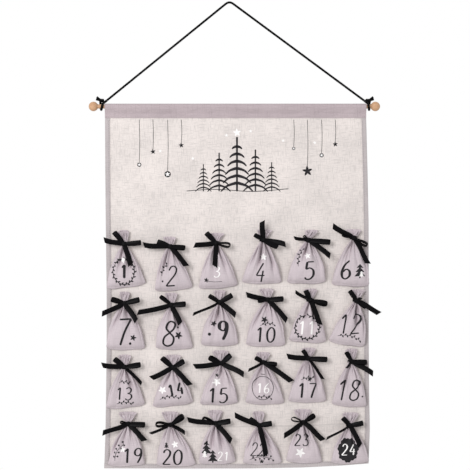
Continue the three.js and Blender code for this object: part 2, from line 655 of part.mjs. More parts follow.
// A flat strip of ribbon along a path, its broad side to the front, with a width at each point.
function stripGeometry(points, widths, thickness) {
  const rings = points.map((point, index) => {
    const before = points[Math.max(index - 1, 0)];
    const after = points[Math.min(index + 1, points.length - 1)];
    const along = new THREE.Vector3().subVectors(after, before).setY(0).normalize();
    const side = new THREE.Vector3(-along.z, 0, along.x).multiplyScalar(widths[index] / 2);
    const back = new THREE.Vector3(0, thickness / 2, 0);
    return [
      point.clone().add(side).add(back),
      point.clone().sub(side).add(back),
      point.clone().sub(side).sub(back),
      point.clone().add(side).sub(back),
    ];
  });
  return loftGeometry(rings);
}

// Depth at which a bow's arm passes a height: it stands off the swelling bag below the knot.
function bowDepthAt(z) {
  return bowPlane - bowSlopeShare * Math.max(-z, 0) - bowRiseShare * Math.max(z, 0);
}

function armGeometry([endX, endZ], widthShare, thickness, bulgeShare) {
  const end = new THREE.Vector2(endX, endZ).multiplyScalar(bowReach);
  const lift = end.length() * bulgeShare;
  const points = armAlongShares.map((share) => {
    const x = end.x * share;
    const z = end.y * share + lift * Math.sin(Math.PI * share);
    return new THREE.Vector3(x, bowDepthAt(z), z);
  });
  const widths = armWidthShares.map((share) => ribbonWidth * widthShare * share);
  return stripGeometry(points, widths, thickness);
}

// A ribbon: the band round the neck, the bow's knot, its two loops and its two tails.
function ribbonGeometry({ ends, widths }) {
  const bandRings = [];
  for (let side = 0; side < ringSides; side += 1) {
    const angle = (2 * Math.PI * side) / ringSides;
    const bandAt = (reach, level) => new THREE.Vector3(
      Math.cos(angle) * (neckWidth / 2 + reach),
      neckBack - neckDepth / 2 - Math.sin(angle) * (neckDepth / 2 + reach),
      level,
    );
    const outer = fitGap + ribbonThickness;
    const level = waistHeight / 2 - fitGap;
    bandRings.push([
      bandAt(fitGap, -level),
      bandAt(outer, -level),
      bandAt(outer, level),
      bandAt(fitGap, level),
    ]);
  }
  const band = closedGeometry(bandRings.flat(), skinTriangles(bandRings, true));
  const knot = new THREE.BoxGeometry(bowKnotWidth, bowKnotDepth, ribbonWidth * bowKnotHeightShare);
  knot.translate(0, bowPlane, 0);
  const loops = [0, 1].map((arm) => armGeometry(ends[arm], widths[arm], loopThickness, loopBulgeShare));
  const tails = [2, 3].map((arm) => armGeometry(ends[arm], widths[arm], ribbonThickness, tailBulgeShare));
  return joinAll([band, knot, ...loops, ...tails]);
}

const calendar = new THREE.Group();

// Hanger: dowel, balls, cord and hitches, carried at the hanging point
const hanger = new THREE.Group();
hanger.position.set(0, 0, -hangDrop);
calendar.add(hanger);
addMesh(hanger, "dowel", dowelGeometry(), materials.wood);
const leftBall = addMesh(hanger, "left_ball", ballGeometry(1), materials.wood);
leftBall.position.x = leftBallX;
const rightBall = addMesh(hanger, "right_ball", ballGeometry(-1), materials.wood);
rightBall.position.x = rightBallX;
const leftTopX = leftEdgeAt(0) - leadClearance;
const rightTopX = rightEdgeAt(0) + leadClearance;
addMesh(hanger, "left_cord_tie", hitchGeometry(leftTopX, -1, leftWrapPitch), materials.cord);
addMesh(hanger, "right_cord_tie", hitchGeometry(rightTopX, 1, rightWrapPitch), materials.cord);
addMesh(hanger, "hanging_cord", cordGeometry(leftTopX, rightTopX), materials.cord);

// Banner: the cloths, which swing together about the dowel
const banner = new THREE.Group();
banner.position.set(0, 0, -hangDrop);
calendar.add(banner);
addMesh(banner, "rod_sleeve", pocketGeometry(), materials.pocket);
addMesh(banner, "front_panel", panelGeometry(), materials.panel);
addMesh(banner, "back_lining", liningGeometry(), materials.lining);
addMesh(banner, "left_binding", sideBindingGeometry(leftEdgeAt, 0, 1), materials.binding);
addMesh(banner, "right_binding", sideBindingGeometry(rightEdgeAt, 1, -1), materials.binding);
addMesh(banner, "bottom_binding", bottomBindingGeometry(), materials.binding);

// Bags with their ribbons, each set hinged at the back of its mouth
for (let index = 0; index < columns * rows; index += 1) {
  const shares = bagShares[index];
  const column = (index % columns) - (columns - 1) / 2;
  const row = Math.floor(index / columns);
  const pouch = new THREE.Group();
  const x = hangOffset + gridOffset + (column + shares.knot[0]) * columnPitch;
  const z = bottomLevel + lastRowRise + (rows - 1 - row + shares.knot[1]) * rowPitch;
  pouch.position.set(x, clothPlane, z);
  banner.add(pouch);
  const number = String(index + 1).padStart(2, "0");
  addMesh(pouch, `bag_${number}`, bagGeometry(shares), materials.bag);
  addMesh(pouch, `ribbon_${number}`, ribbonGeometry(bowShares[index]), materials.ribbon);
}

export default calendar;
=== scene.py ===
"""The looks of a fabric advent calendar: a cloth banner on a dowel, hung by a cord, with 24 tied bags.

Every size is in millimetres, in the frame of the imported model, and becomes metres where a mesh is made.
Heights are measured from the dowel's axis, places on a bag from its knot.
"""

import logging
import math
from collections.abc import Callable
from dataclasses import dataclass, field
from enum import Enum

import bpy
import numpy as np
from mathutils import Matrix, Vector


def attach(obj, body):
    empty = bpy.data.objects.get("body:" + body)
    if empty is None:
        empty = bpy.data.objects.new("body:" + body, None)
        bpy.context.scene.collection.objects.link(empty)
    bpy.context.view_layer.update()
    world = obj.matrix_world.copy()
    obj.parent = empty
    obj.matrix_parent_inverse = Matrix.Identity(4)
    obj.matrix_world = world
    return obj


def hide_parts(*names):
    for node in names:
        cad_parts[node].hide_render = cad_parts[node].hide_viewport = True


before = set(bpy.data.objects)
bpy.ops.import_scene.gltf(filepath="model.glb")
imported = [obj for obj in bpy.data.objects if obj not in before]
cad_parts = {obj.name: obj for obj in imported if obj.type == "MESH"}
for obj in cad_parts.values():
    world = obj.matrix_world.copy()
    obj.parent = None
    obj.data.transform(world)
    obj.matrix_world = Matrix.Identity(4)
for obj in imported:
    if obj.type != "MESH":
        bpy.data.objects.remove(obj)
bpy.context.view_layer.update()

log = logging.getLogger("calendar")

MM = 0.001
TURN = 2 * math.pi
FORWARD = np.array([0, -1.0, 0])

Array = np.ndarray
Pair = tuple[float, float]
Triple = tuple[float, float, float]
Wave = tuple[float, float, float, int]
Colour = tuple[int, int, int]
Piece = bpy.types.Object
Material = bpy.types.Material
Socket = bpy.types.NodeSocket


def held(value: Array | float) -> Array:
    """A value held between 0 and 1."""
    return np.clip(value, 0, 1)


def ramp(value: Array, low: float, high: float) -> Array:
    """How far a value has come from a low to a high one, held between 0 and 1."""
    return held((value - low) / (high - low))


def round_turn(count: int) -> Array:
    """Angles in even steps round one turn, the first at 0."""
    return TURN * np.arange(count) / count


def unit(vectors: Array) -> Array:
    """Vectors along the last axis, brought to a length of 1."""
    return vectors / np.linalg.norm(vectors, axis=-1, keepdims=True)


def powered(value: Array, power: float) -> Array:
    """A power of the size of a value, with the value's own sign."""
    return np.sign(value) * np.abs(value) ** power


# Sizes of the frame that the looks share
@dataclass(frozen=True)
class Frame:
    """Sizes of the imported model, as its source gives them, in millimetres."""

    hang_drop: float = 198.5
    hang_offset: float = 14.6
    banner_width: float = 500
    banner_drop: float = 694
    gap: float = 0.3
    dowel_radius: float = 4
    cloth_plane: float = 2.9
    panel_thickness: float = 1
    lining_thickness: float = 0.8
    binding_thickness: float = 1
    binding_width: float = 9
    pocket_drop: float = 27
    seam_tuck: float = 6
    column_pitch: float = 86.2
    row_pitch: float = 115
    grid_offset: float = 4
    last_row_rise: float = 86.4
    columns: int = 6
    rows: int = 4

    @property
    def pocket_outer(self) -> float:
        """Outer radius of the rod pocket round the dowel."""
        return self.dowel_radius + self.gap + self.binding_thickness

    @property
    def seam_level(self) -> float:
        """Height of the seam below the rod pocket."""
        return self.pocket_outer - self.pocket_drop

    @property
    def bottom_level(self) -> float:
        """Height of the banner's bottom edge."""
        return self.pocket_outer - self.banner_drop

    @property
    def left_edge(self) -> float:
        """Place of the banner's left edge."""
        return self.hang_offset - self.banner_width / 2

    @property
    def right_edge(self) -> float:
        """Place of the banner's right edge."""
        return self.hang_offset + self.banner_width / 2

    @property
    def cloth_inset(self) -> float:
        """How far the cloths end inside the bindings' outer edge."""
        return self.binding_thickness + self.gap

    @property
    def lining_front(self) -> float:
        """Depth of the lining's front face."""
        return self.cloth_plane + self.panel_thickness + self.gap

    @property
    def lining_back(self) -> float:
        """Depth of the lining's back face."""
        return self.lining_front + self.lining_thickness

    @property
    def first_column(self) -> float:
        """Place of the first column of bags."""
        return self.hang_offset + self.grid_offset - self.column_pitch * (self.columns - 1) / 2


FRAME = Frame()
DROP = np.array([0, 0, -FRAME.hang_drop])


# Meshes from grids of points
@dataclass
class Shell:
    """One closed surface in the making: points, faces, and each face corner's place on the cloth."""

    slot: int = 0
    points: list[Array] = field(default_factory=list)
    faces: list[Array] = field(default_factory=list)
    places: list[Array] = field(default_factory=list)
    count: int = 0

    def add_points(self, points: Array) -> Array:
        """Adds points.

        Args:
            points: an array whose last axis holds x, y and z.

        Returns:
            The points' numbers, in the same layout.
        """
        flat = points.reshape(-1, 3)
        numbers = self.count + np.arange(len(flat))
        self.points.append(flat)
        self.count += len(flat)
        return numbers.reshape(points.shape[:-1])

    def weave(self, numbers: Array, uv: Array) -> None:
        """Lays a four-sided face between each point of a grid and its next row and column.

        Args:
            numbers: the points' numbers, (..., rows, columns).
            uv: each point's place on the cloth, (..., rows, columns, 2).
        """
        corners = [(slice(None, -1), slice(None, -1)), (slice(None, -1), slice(1, None))]
        corners += [(slice(1, None), slice(1, None)), (slice(1, None), slice(None, -1))]
        faces = np.stack([numbers[(..., *corner)] for corner in corners], -1)
        places = np.stack([uv[(..., *corner, slice(None))] for corner in corners], -2)
        self.faces.append(faces.reshape(-1, 4))
        self.places.append(places.reshape(-1, 4, 2))

    def fan(self, rim: Array, uv: Array, hub: Array) -> None:
        """Closes rings with triangles to a hub in the middle of each.

        Args:
            rim: the rings' point numbers, (rings, points), the first one repeated at the end.
            uv: their places on the cloth.
            hub: the hubs' points, (rings, 3).
        """
        hubs = np.broadcast_to(self.add_points(hub)[:, None], rim[:, 1:].shape)
        middle = np.broadcast_to(uv.mean(1, keepdims=True), uv[:, 1:].shape)
        self.faces.append(np.stack([rim[:, :-1], rim[:, 1:], hubs], -1).reshape(-1, 3))
        self.places.append(np.stack([uv[:, :-1], uv[:, 1:], middle], -2).reshape(-1, 3, 2))

    def turned_outward(self) -> "Shell":
        """Turns all faces over if the volume that they enclose comes out negative.

        Returns:
            The shell itself.
        """
        points = np.concatenate(self.points)
        volume = 0.0
        for faces in self.faces:
            for last in range(2, faces.shape[1]):
                a, b, c = (points[faces[:, k]] for k in (0, last - 1, last))
                volume += float(np.einsum("ij,ij->", a, np.cross(b, c)))
        if volume < 0:
            self.faces = [faces[:, ::-1] for faces in self.faces]
            self.places = [places[:, ::-1] for places in self.places]
        return self


def flat_uv(grid: Array) -> Array:
    """Places on the cloth from a grid's own lengths: the running length of its middle row and column.

    Args:
        grid: points, (..., rows, columns, 3).

    Returns:
        The running lengths along the columns and the rows, (..., rows, columns, 2).
    """
    across = np.linalg.norm(np.diff(grid, axis=-2), axis=-1).mean(-2, keepdims=True)
    down = np.linalg.norm(np.diff(grid, axis=-3), axis=-1).mean(-1, keepdims=True)
    u = np.concatenate([np.zeros_like(across[..., :1]), np.cumsum(across, -1)], -1)
    v = np.concatenate([np.zeros_like(down[..., :1, :]), np.cumsum(down, -2)], -2)
    shape = grid.shape[:-1]
    return np.stack([np.broadcast_to(u, shape), np.broadcast_to(v, shape)], -1)


def slab(front: Array, back: Array, slot: int = 0, uv: Array | None = None) -> Shell:
    """Closes two like grids into a thin sheet: front, back, and a strip round their edge.

    Args:
        front: the front's points, (rows, columns, 3).
        back: the back's points, in the same layout.
        slot: the material's number.
        uv: each point's place on the cloth, or None for the grid's own lengths.

    Returns:
        The closed shell.
    """
    shell = Shell(slot)
    marks = flat_uv(front) if uv is None else uv
    faces = [shell.add_points(front), shell.add_points(back)]
    shell.weave(faces[0], marks)
    shell.weave(faces[1][:, ::-1], marks[:, ::-1])

    def round_edge(layout: Array) -> Array:
        """The edge of a grid: along the top, down, back along the bottom and up."""
        parts = [layout[0], layout[1:, -1], layout[-1, -2::-1], layout[-2::-1, 0]]
        return np.concatenate(parts)

    edges = np.stack([round_edge(faces[1]), round_edge(faces[0])])
    shell.weave(edges, np.stack([round_edge(marks)] * 2))
    return shell.turned_outward()


def tubes(rings: Array, slot: int = 0, ring_shaped: bool = False) -> Shell:
    """Closes rows of rings into tubes: round each ring, along the row, and a fan or a join at the ends.

    Args:
        rings: the points, (tubes, rings, sides, 3).
        slot: the material's number.
        ring_shaped: whether the last ring joins the first, as on a hoop.

    Returns:
        The closed shell.
    """
    shell = Shell(slot)
    numbers = shell.add_points(rings)
    around = np.concatenate([rings, rings[..., :1, :]], -2)
    numbers = np.concatenate([numbers, numbers[..., :1]], -1)
    if ring_shaped:
        around = np.concatenate([around, around[:, :1]], 1)
        numbers = np.concatenate([numbers, numbers[:, :1]], 1)
    marks = flat_uv(around)
    shell.weave(numbers, marks)
    if not ring_shaped:
        shell.fan(numbers[:, 0, ::-1], marks[:, 0, ::-1], rings[:, 0].mean(1))
        shell.fan(numbers[:, -1], marks[:, -1], rings[:, -1].mean(1))
    return shell.turned_outward()


def make_piece(
    name: str, shells: list[Shell], materials: list[Material], sharp: float = 50
) -> Piece:
    """Makes one object, at the origin, from closed shells in millimetres.

    Args:
        name: the piece's name.
        shells: its closed surfaces.
        materials: its materials, in the order of the shells' slots.
        sharp: the angle in degrees from which an edge is drawn sharp.

    Returns:
        The object, with a UV map in metres.
    """
    points = []
    faces = []
    places = []
    slots = []
    start = 0
    for shell in shells:
        points += shell.points
        for block, marks in zip(shell.faces, shell.places):
            faces += (block + start).tolist()
            places.append(marks.reshape(-1, 2))
            slots.append(np.full(len(block), shell.slot))
        start += shell.count
    mesh = bpy.data.meshes.new(name)
    mesh.from_pydata((np.concatenate(points) * MM).tolist(), [], faces)
    layer = mesh.uv_layers.new(name="cloth")
    layer.data.foreach_set("uv", (np.concatenate(places) * MM).ravel())
    for material in materials:
        mesh.materials.append(material)
    mesh.polygons.foreach_set("material_index", np.concatenate(slots))
    mesh.polygons.foreach_set("use_smooth", np.ones(len(faces), bool))
    mesh.update()
    mesh.set_sharp_from_angle(angle=math.radians(sharp))
    piece = bpy.data.objects.new(name, mesh)
    bpy.context.scene.collection.objects.link(piece)
    return piece


def stand_in(
    name: str,
    node: str,
    shells: list[Shell],
    materials: list[Material],
    sharp: float = 50,
) -> Piece:
    """Makes the piece that stands in place of a solid.

    Args:
        name: the piece's name.
        node: the solid's name.
        shells: its closed surfaces.
        materials: its materials.
        sharp: the angle in degrees from which an edge is drawn sharp.

    Returns:
        The piece.
    """
    piece = make_piece(name, shells, materials, sharp)
    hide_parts(node)
    return piece


def through(points: Array, steps: int) -> Array:
    """A smooth line through points: between two of them, the cubic whose ends lean as their neighbours lie.

    Args:
        points: the points, (points, axes).
        steps: how many steps each span is cut into.

    Returns:
        The line's points.
    """
    if len(points) < 3:
        share = np.linspace(0, 1, steps + 1)[:, None]
        return points[0] * (1 - share) + points[-1] * share
    padded = np.concatenate([2 * points[:1] - points[1:2], points, 2 * points[-1:] - points[-2:-1]])
    before, here, after, beyond = padded[:-3], padded[1:-2], padded[2:-1], padded[3:]
    t = np.arange(steps)[:, None, None] / steps
    line = here + t * (after - before) / 2
    line = line + t**2 * (before - 2.5 * here + 2 * after - beyond / 2)
    line = line + t**3 * (-before / 2 + 1.5 * here - 1.5 * after + beyond / 2)
    return np.concatenate([line.transpose(1, 0, 2).reshape(-1, points.shape[1]), points[-1:]])


def evenly(points: Array, step: float) -> Array:
    """The same line with its points a like distance apart.

    Args:
        points: the line, (points, axes).
        step: the distance.

    Returns:
        The line, read at equal shares of its length.
    """
    reach = np.concatenate([[0], np.cumsum(np.linalg.norm(np.diff(points, axis=0), axis=1))])
    at = np.linspace(0, reach[-1], max(int(round(reach[-1] / step)), 2) + 1)
    return np.stack([np.interp(at, reach, points[:, axis]) for axis in range(points.shape[1])], -1)


def line_length(points: Array) -> float:
    """Length of a line through points."""
    return float(np.linalg.norm(np.diff(points, axis=0), axis=1).sum())


def strand(path: Array, radius: Array | float, sides: int) -> Array:
    """Rings square to a path: the first spoke is carried along without twist, the rest turn round it.

    Args:
        path: the centreline, (points, 3).
        radius: the radius, one number or (points, sides).
        sides: how many points a ring has.

    Returns:
        The rings, (points, sides, 3).
    """
    along = unit(np.gradient(path, axis=0))
    spokes = []
    spoke = np.array([0.0, 1.0, 0.0])
    for way in along:
        spoke = unit(spoke - way * spoke.dot(way))
        spokes.append(spoke)
    first = np.array(spokes)[:, None]
    other = np.cross(along, first[:, 0])[:, None]
    angle = round_turn(sides)[None, :, None]
    reach = np.broadcast_to(np.asarray(radius), (len(path), sides))[..., None]
    return path[:, None] + reach * (first * np.cos(angle) + other * np.sin(angle))


# Finishes
def linear(colour: Colour) -> tuple[float, float, float, float]:
    """Turns a colour written as it looks, 0 to 255, into the shader's linear one.

    Args:
        colour: red, green and blue, 0 to 255.

    Returns:
        The linear colour, with full alpha.
    """
    shares = [value / 255 for value in colour]
    parts = [s / 12.92 if s <= 0.04045 else ((s + 0.055) / 1.055) ** 2.4 for s in shares]
    return (*parts, 1.0)


class Bench:
    """Lays out the nodes of one material round its shader."""

    def __init__(self, name: str) -> None:
        """Starts a material with only a shader and its output.

        Args:
            name: the material's name.
        """
        self.material = bpy.data.materials.new(name)
        self.material.use_nodes = True
        self.tree = self.material.node_tree
        self.tree.nodes.clear()
        self.shader = self.add("ShaderNodeBsdfPrincipled")
        output = self.add("ShaderNodeOutputMaterial")
        self.tree.links.new(self.shader.outputs["BSDF"], output.inputs["Surface"])

    def add(
        self, kind: str, inputs: dict[str | int, object] | None = None, **settings: object
    ) -> bpy.types.Node:
        """Adds a node.

        Args:
            kind: Blender's name of the node.
            inputs: a socket to link or a value to set, for each input by name or number.
            settings: the node's own properties.

        Returns:
            The node.
        """
        node = self.tree.nodes.new(kind)
        for key, value in settings.items():
            setattr(node, key, value)
        for key, value in (inputs or {}).items():
            self.feed(node.inputs[key], value)
        return node

    def feed(self, socket: Socket, value: object) -> None:
        """Links a socket to another one, or sets its value.

        Args:
            socket: the input.
            value: an output to link, or a value to set.
        """
        if isinstance(value, bpy.types.NodeSocket):
            self.tree.links.new(value, socket)
        else:
            socket.default_value = value

    def shade(self, **values: object) -> None:
        """Feeds the shader's sockets, named with underscores for spaces."""
        for key, value in values.items():
            self.feed(self.shader.inputs[key.replace("_", " ")], value)

    def sum(self, operation: str, first: object, second: object = 0.0) -> Socket:
        """One step of arithmetic between sockets or numbers."""
        return self.add("ShaderNodeMath", {0: first, 1: second}, operation=operation).outputs[0]

    def place(self, source: str, scale: Triple, turn: float = 0) -> Socket:
        """The surface's own coordinates, UV or Object, scaled and turned.

        Args:
            source: UV or Object.
            scale: the factor along each axis.
            turn: radians about the third axis.

        Returns:
            The coordinates.
        """
        coordinates = self.add("ShaderNodeTexCoord").outputs[source]
        inputs = {"Vector": coordinates, "Scale": scale, "Rotation": (0, 0, turn)}
        return self.add("ShaderNodeMapping", inputs).outputs[0]

    def noise(self, vector: Socket, scale: float, detail: float = 2) -> Socket:
        """Cloudy noise, about 0.5 in the middle."""
        inputs = {"Vector": vector, "Scale": scale, "Detail": detail}
        return self.add("ShaderNodeTexNoise", inputs).outputs["Fac"]

    def bands(self, vector: Socket, axis: str, pitch: float) -> Socket:
        """Sine bands across an axis, one each pitch, in metres.

        Args:
            vector: the coordinates.
            axis: X or Y.
            pitch: from one band to the next, in metres.

        Returns:
            The bands' height, 0 to 1.
        """
        inputs = {"Vector": vector, "Scale": TURN / 20 / pitch}
        settings = {"wave_type": "BANDS", "bands_direction": axis}
        return self.add("ShaderNodeTexWave", inputs, **settings).outputs["Fac"]

    def blend(self, share: object, first: object, second: object) -> Socket:
        """A colour between two, by share."""
        inputs = {0: share, 6: first, 7: second}
        return self.add("ShaderNodeMix", inputs, data_type="RGBA").outputs[2]

    def span(self, value: Socket, low: float, high: float, to_low: float = 0, to_high: float = 1) -> Socket:
        """Stretches a range of values over another one and cuts it off there."""
        inputs = {0: value, 1: low, 2: high, 3: to_low, 4: to_high}
        return self.add("ShaderNodeMapRange", inputs).outputs[0]

    def bump(self, height: Socket, depth: float, strength: float = 1) -> Socket:
        """A normal that follows a height, in metres from its lowest to its highest."""
        inputs = {"Height": height, "Distance": depth, "Strength": strength}
        return self.add("ShaderNodeBump", inputs).outputs[0]


@dataclass(frozen=True)
class ClothFinish:
    """Plain-weave cotton: crossing threads with painted shade in the grooves between them, slubs along both,
    soft blotches, a fine nap, and a painted shadow line along one level crease.
    """

    name: str
    colour: Colour
    pitch: float = 0.0006
    slub: float = 0.5
    blotch: float = 0.5
    depth: float = 0.00012
    sheen: float = 0.12
    slub_length: float = 0.03
    slub_width: float = 0.0022
    # Painted shadow: crease is how far down the cloth, in metres of its UV, a thin darker line is painted as
    # a crease's shadow, crease_shadow_width wide and crease_shade dark; the default -1 lies off the cloth, so
    # no line is painted.
    crease: float = -1
    crease_shadow_width: float = 0.0018
    crease_shade: float = 0.6
    cloud_scale: float = 14
    fleck_scale: float = 420
    fleck: float = 0.25
    # Painted shade: how much darker the grooves between threads are painted than the threads' crowns.
    groove_shade: float = 0.3
    light: float = 1.035
    dark: float = 0.9

    def make(self) -> Material:
        """Builds the material on the piece's own UV map.

        Returns:
            The material.
        """
        bench = Bench(self.name)
        cloth = bench.place("UV", (1, 1, 1))
        warp = bench.bands(cloth, "X", self.pitch)
        weft = bench.bands(cloth, "Y", self.pitch)
        threads = bench.sum("MULTIPLY", bench.sum("ADD", warp, weft), 0.5)
        fine, long = 1 / self.slub_width, 1 / self.slub_length
        slubs = [bench.noise(bench.place("UV", scale), 1, 3) for scale in ((long, fine, 1), (fine, long, 1))]
        slubs = bench.sum("MAXIMUM", *(bench.span(slub, 0.5, 0.72) for slub in slubs))
        clouds = bench.noise(cloth, self.cloud_scale, 4)
        fleck = bench.noise(cloth, self.fleck_scale, 2)
        light = linear(tuple(min(int(value * self.light), 255) for value in self.colour))
        dark = linear(tuple(int(value * self.dark) for value in self.colour))
        # Painted shadow: the distance from the crease's level along the UV's second axis, for the darker
        # line.
        below = bench.add("ShaderNodeSeparateXYZ", {0: cloth}).outputs[1]
        away = bench.sum("ABSOLUTE", bench.sum("SUBTRACT", below, self.crease))
        shade = bench.sum("MULTIPLY", slubs, self.slub)
        for more in (
            bench.span(clouds, 0.3, 0.7, 0, self.blotch),
            bench.span(fleck, 0.3, 0.7, 0, self.fleck),
            # painted shade in the grooves between threads, lighter crowns
            bench.sum("MULTIPLY", threads, -self.groove_shade),
            # painted shadow line along the crease
            bench.span(away, 0.0003, self.crease_shadow_width, self.crease_shade, 0),
        ):
            shade = bench.sum("ADD", shade, more)
        bench.shade(Base_Color=bench.blend(bench.span(shade, -0.15, 1.0), light, dark))
        height = bench.sum("ADD", threads, bench.sum("MULTIPLY", slubs, 0.8))
        bench.shade(Normal=bench.bump(height, self.depth, 0.8))
        bench.shade(Roughness=bench.span(fleck, 0.2, 0.8, 0.86, 0.98), Specular_IOR_Level=0.2)
        bench.shade(Sheen_Weight=self.sheen, Sheen_Roughness=0.5)
        return bench.material


@dataclass(frozen=True)
class SatinFinish:
    """Black satin ribbon: fine ribs across its length, a soft stretched gloss, painted sheen in lighter
    streaks along it and painted shade in darker cloudy patches that stand in for folds.
    """

    name: str
    colour: Colour
    rib: float = 0.0006
    # Scale of the streaks that carry the painted sheen in the colour and the gloss in the roughness.
    sheen_streaks: Triple = (1500, 90, 1)
    cloud_scale: float = 90
    # Painted highlight: how much lighter the colour is painted on the sheen's streaks.
    painted_highlight: int = 10

    def make(self) -> Material:
        """Builds the material on the ribbon's own UV map.

        Returns:
            The material.
        """
        bench = Bench(self.name)
        ribbon = bench.place("UV", (1, 1, 1))
        ribs = bench.bands(ribbon, "Y", self.rib)
        sheen_streaks = bench.noise(bench.place("UV", self.sheen_streaks), 1, 3)
        clouds = bench.noise(ribbon, self.cloud_scale, 3)
        # Painted sheen: lighter streaks along the ribbon, mixed in by the streaks times the clouds; where the
        # clouds are low the satin stays at its dark colour, as painted shade standing in for folds.
        light = linear(tuple(value + self.painted_highlight for value in self.colour))
        shade = bench.sum("MULTIPLY", bench.span(sheen_streaks, 0.3, 0.7), bench.span(clouds, 0.25, 0.75, 0.3, 1))
        bench.shade(Base_Color=bench.blend(shade, linear(self.colour), light))
        bench.shade(Roughness=bench.span(bench.sum("ADD", clouds, sheen_streaks), 0.6, 1.4, 0.3, 0.46))
        bench.shade(Normal=bench.bump(ribs, 0.00006, 0.5), Anisotropic=0.5, Specular_IOR_Level=0.06)
        return bench.material


@dataclass(frozen=True)
class BraidFinish:
    """Black braided cord: yarns that cross on two slants, their crowns painted lighter as a painted
    highlight, with a dull nap.
    """

    name: str
    colour: Colour
    yarn: float = 0.0011
    slant: float = math.radians(40)
    fibre_scale: float = 3500
    # Painted highlight: how much lighter the colour is painted on the yarns' crowns.
    painted_highlight: int = 9

    def make(self) -> Material:
        """Builds the material on the cord's own UV map.

        Returns:
            The material.
        """
        bench = Bench(self.name)
        slants = (self.slant, -self.slant)
        crossed = [bench.bands(bench.place("UV", (1, 1, 1), slant), "X", self.yarn) for slant in slants]
        yarns = bench.sum("MULTIPLY", *crossed)
        fibres = bench.noise(bench.place("UV", (1, 1, 1)), self.fibre_scale, 2)
        # Painted highlight on the yarns' crowns, where both slants rise; the fibre noise adds the nap's own
        # lighter flecks.
        shade = bench.sum("ADD", bench.sum("MULTIPLY", yarns, 0.7), bench.span(fibres, 0.3, 0.8, 0, 0.4))
        light = linear(tuple(value + self.painted_highlight for value in self.colour))
        bench.shade(Base_Color=bench.blend(shade, linear(self.colour), light))
        bench.shade(Roughness=bench.span(fibres, 0.2, 0.8, 0.65, 0.9), Specular_IOR_Level=0.08)
        bench.shade(Sheen_Weight=0.02, Sheen_Roughness=0.5)
        bench.shade(Normal=bench.bump(yarns, 0.0002, 0.7))
        return bench.material


@dataclass(frozen=True)
class WoodFinish:
    """Sanded beech: fibres along the dowel, faint yearly bands, and short darker flecks."""

    name: str
    colour: Colour
    late: Colour
    fibre: Triple = (18, 700, 700)
    fleck: Triple = (120, 1900, 1900)
    wobble: Triple = (12, 90, 90)
    rings: float = 9

    def make(self) -> Material:
        """Builds the material on Object coordinates, with its grain along X.

        Returns:
            The material.
        """
        bench = Bench(self.name)
        fibres = bench.noise(bench.place("Object", self.fibre), 1, 4)
        flecks = bench.noise(bench.place("Object", self.fleck), 1, 2)
        wobble = bench.noise(bench.place("Object", self.wobble), 1, 2)
        rings = bench.sum("FRACT", bench.sum("MULTIPLY", wobble, self.rings))
        shade = bench.sum("ADD", bench.span(fibres, 0.3, 0.75, 0, 0.5), bench.sum("MULTIPLY", rings, 0.3))
        shade = bench.sum("ADD", shade, bench.span(flecks, 0.62, 0.75, 0, 0.45))
        bench.shade(Base_Color=bench.blend(shade, linear(self.colour), linear(self.late)))
        bench.shade(Roughness=bench.span(fibres, 0.3, 0.7, 0.48, 0.66), Specular_IOR_Level=0.4)
        bench.shade(Normal=bench.bump(fibres, 0.00008, 0.6))
        return bench.material


@dataclass(frozen=True)
class InkFinish:
    """Fabric ink: an even colour that lets the threads show through a little."""

    name: str
    colour: Colour
    worn: Colour
    thread_scale: float = 1400
    patch_scale: float = 160

    def make(self) -> Material:
        """Builds the material on Object coordinates.

        Returns:
            The material.
        """
        bench = Bench(self.name)
        place = bench.place("Object", (1, 1, 1))
        threads = bench.noise(place, self.thread_scale, 2)
        patches = bench.noise(place, self.patch_scale, 3)
        shade = bench.sum("MULTIPLY", bench.span(threads, 0.5, 0.8), bench.span(patches, 0.3, 0.7, 0.2, 0.8))
        bench.shade(Base_Color=bench.blend(shade, linear(self.colour), linear(self.worn)))
        bench.shade(Roughness=bench.span(threads, 0.3, 0.7, 0.7, 0.9), Specular_IOR_Level=0.3)
        bench.shade(Normal=bench.bump(threads, 0.00005, 0.5))
        return bench.material


Finish = ClothFinish | SatinFinish | BraidFinish | WoodFinish | InkFinish


def made(finish: Finish) -> Material:
    """A field that holds a finish's material, built with the object."""
    return field(default_factory=finish.make)


@dataclass
class Finishes:
    """The object's materials, made once."""

    panel: Material = made(
        ClothFinish(
            "panel_linen",
            (231, 223, 219),
            pitch=0.0007,
            slub=0.85,
            blotch=0.6,
            slub_length=0.016,
            slub_width=0.0018,
            # paints the crease's shadow line 0.592 m down the panel's cloth
            crease=0.592,
        )
    )
    lining: Material = made(ClothFinish("lining_cotton", (196, 183, 187)))
    pocket: Material = made(ClothFinish("pocket_cotton", (188, 174, 178)))
    binding: Material = made(ClothFinish("binding_cotton", (191, 183, 184)))
    bag: Material = made(
        ClothFinish(
            "bag_cotton", (204, 193, 198), pitch=0.0005, slub=0.4, blotch=0.6, depth=0.0001, sheen=0.04
        )
    )
    thread: Material = made(ClothFinish("sewing_thread", (150, 138, 142), pitch=0.0003))
    satin: Material = made(SatinFinish("ribbon_satin", (6, 5, 7)))
    braid: Material = made(BraidFinish("cord_braid", (4, 4, 5)))
    wood: Material = made(WoodFinish("beech_wood", (213, 173, 138), (180, 134, 98)))
    black_ink: Material = made(InkFinish("black_ink", (27, 26, 29), (70, 66, 70)))
    white_ink: Material = made(InkFinish("white_ink", (246, 244, 243), (226, 220, 222)))


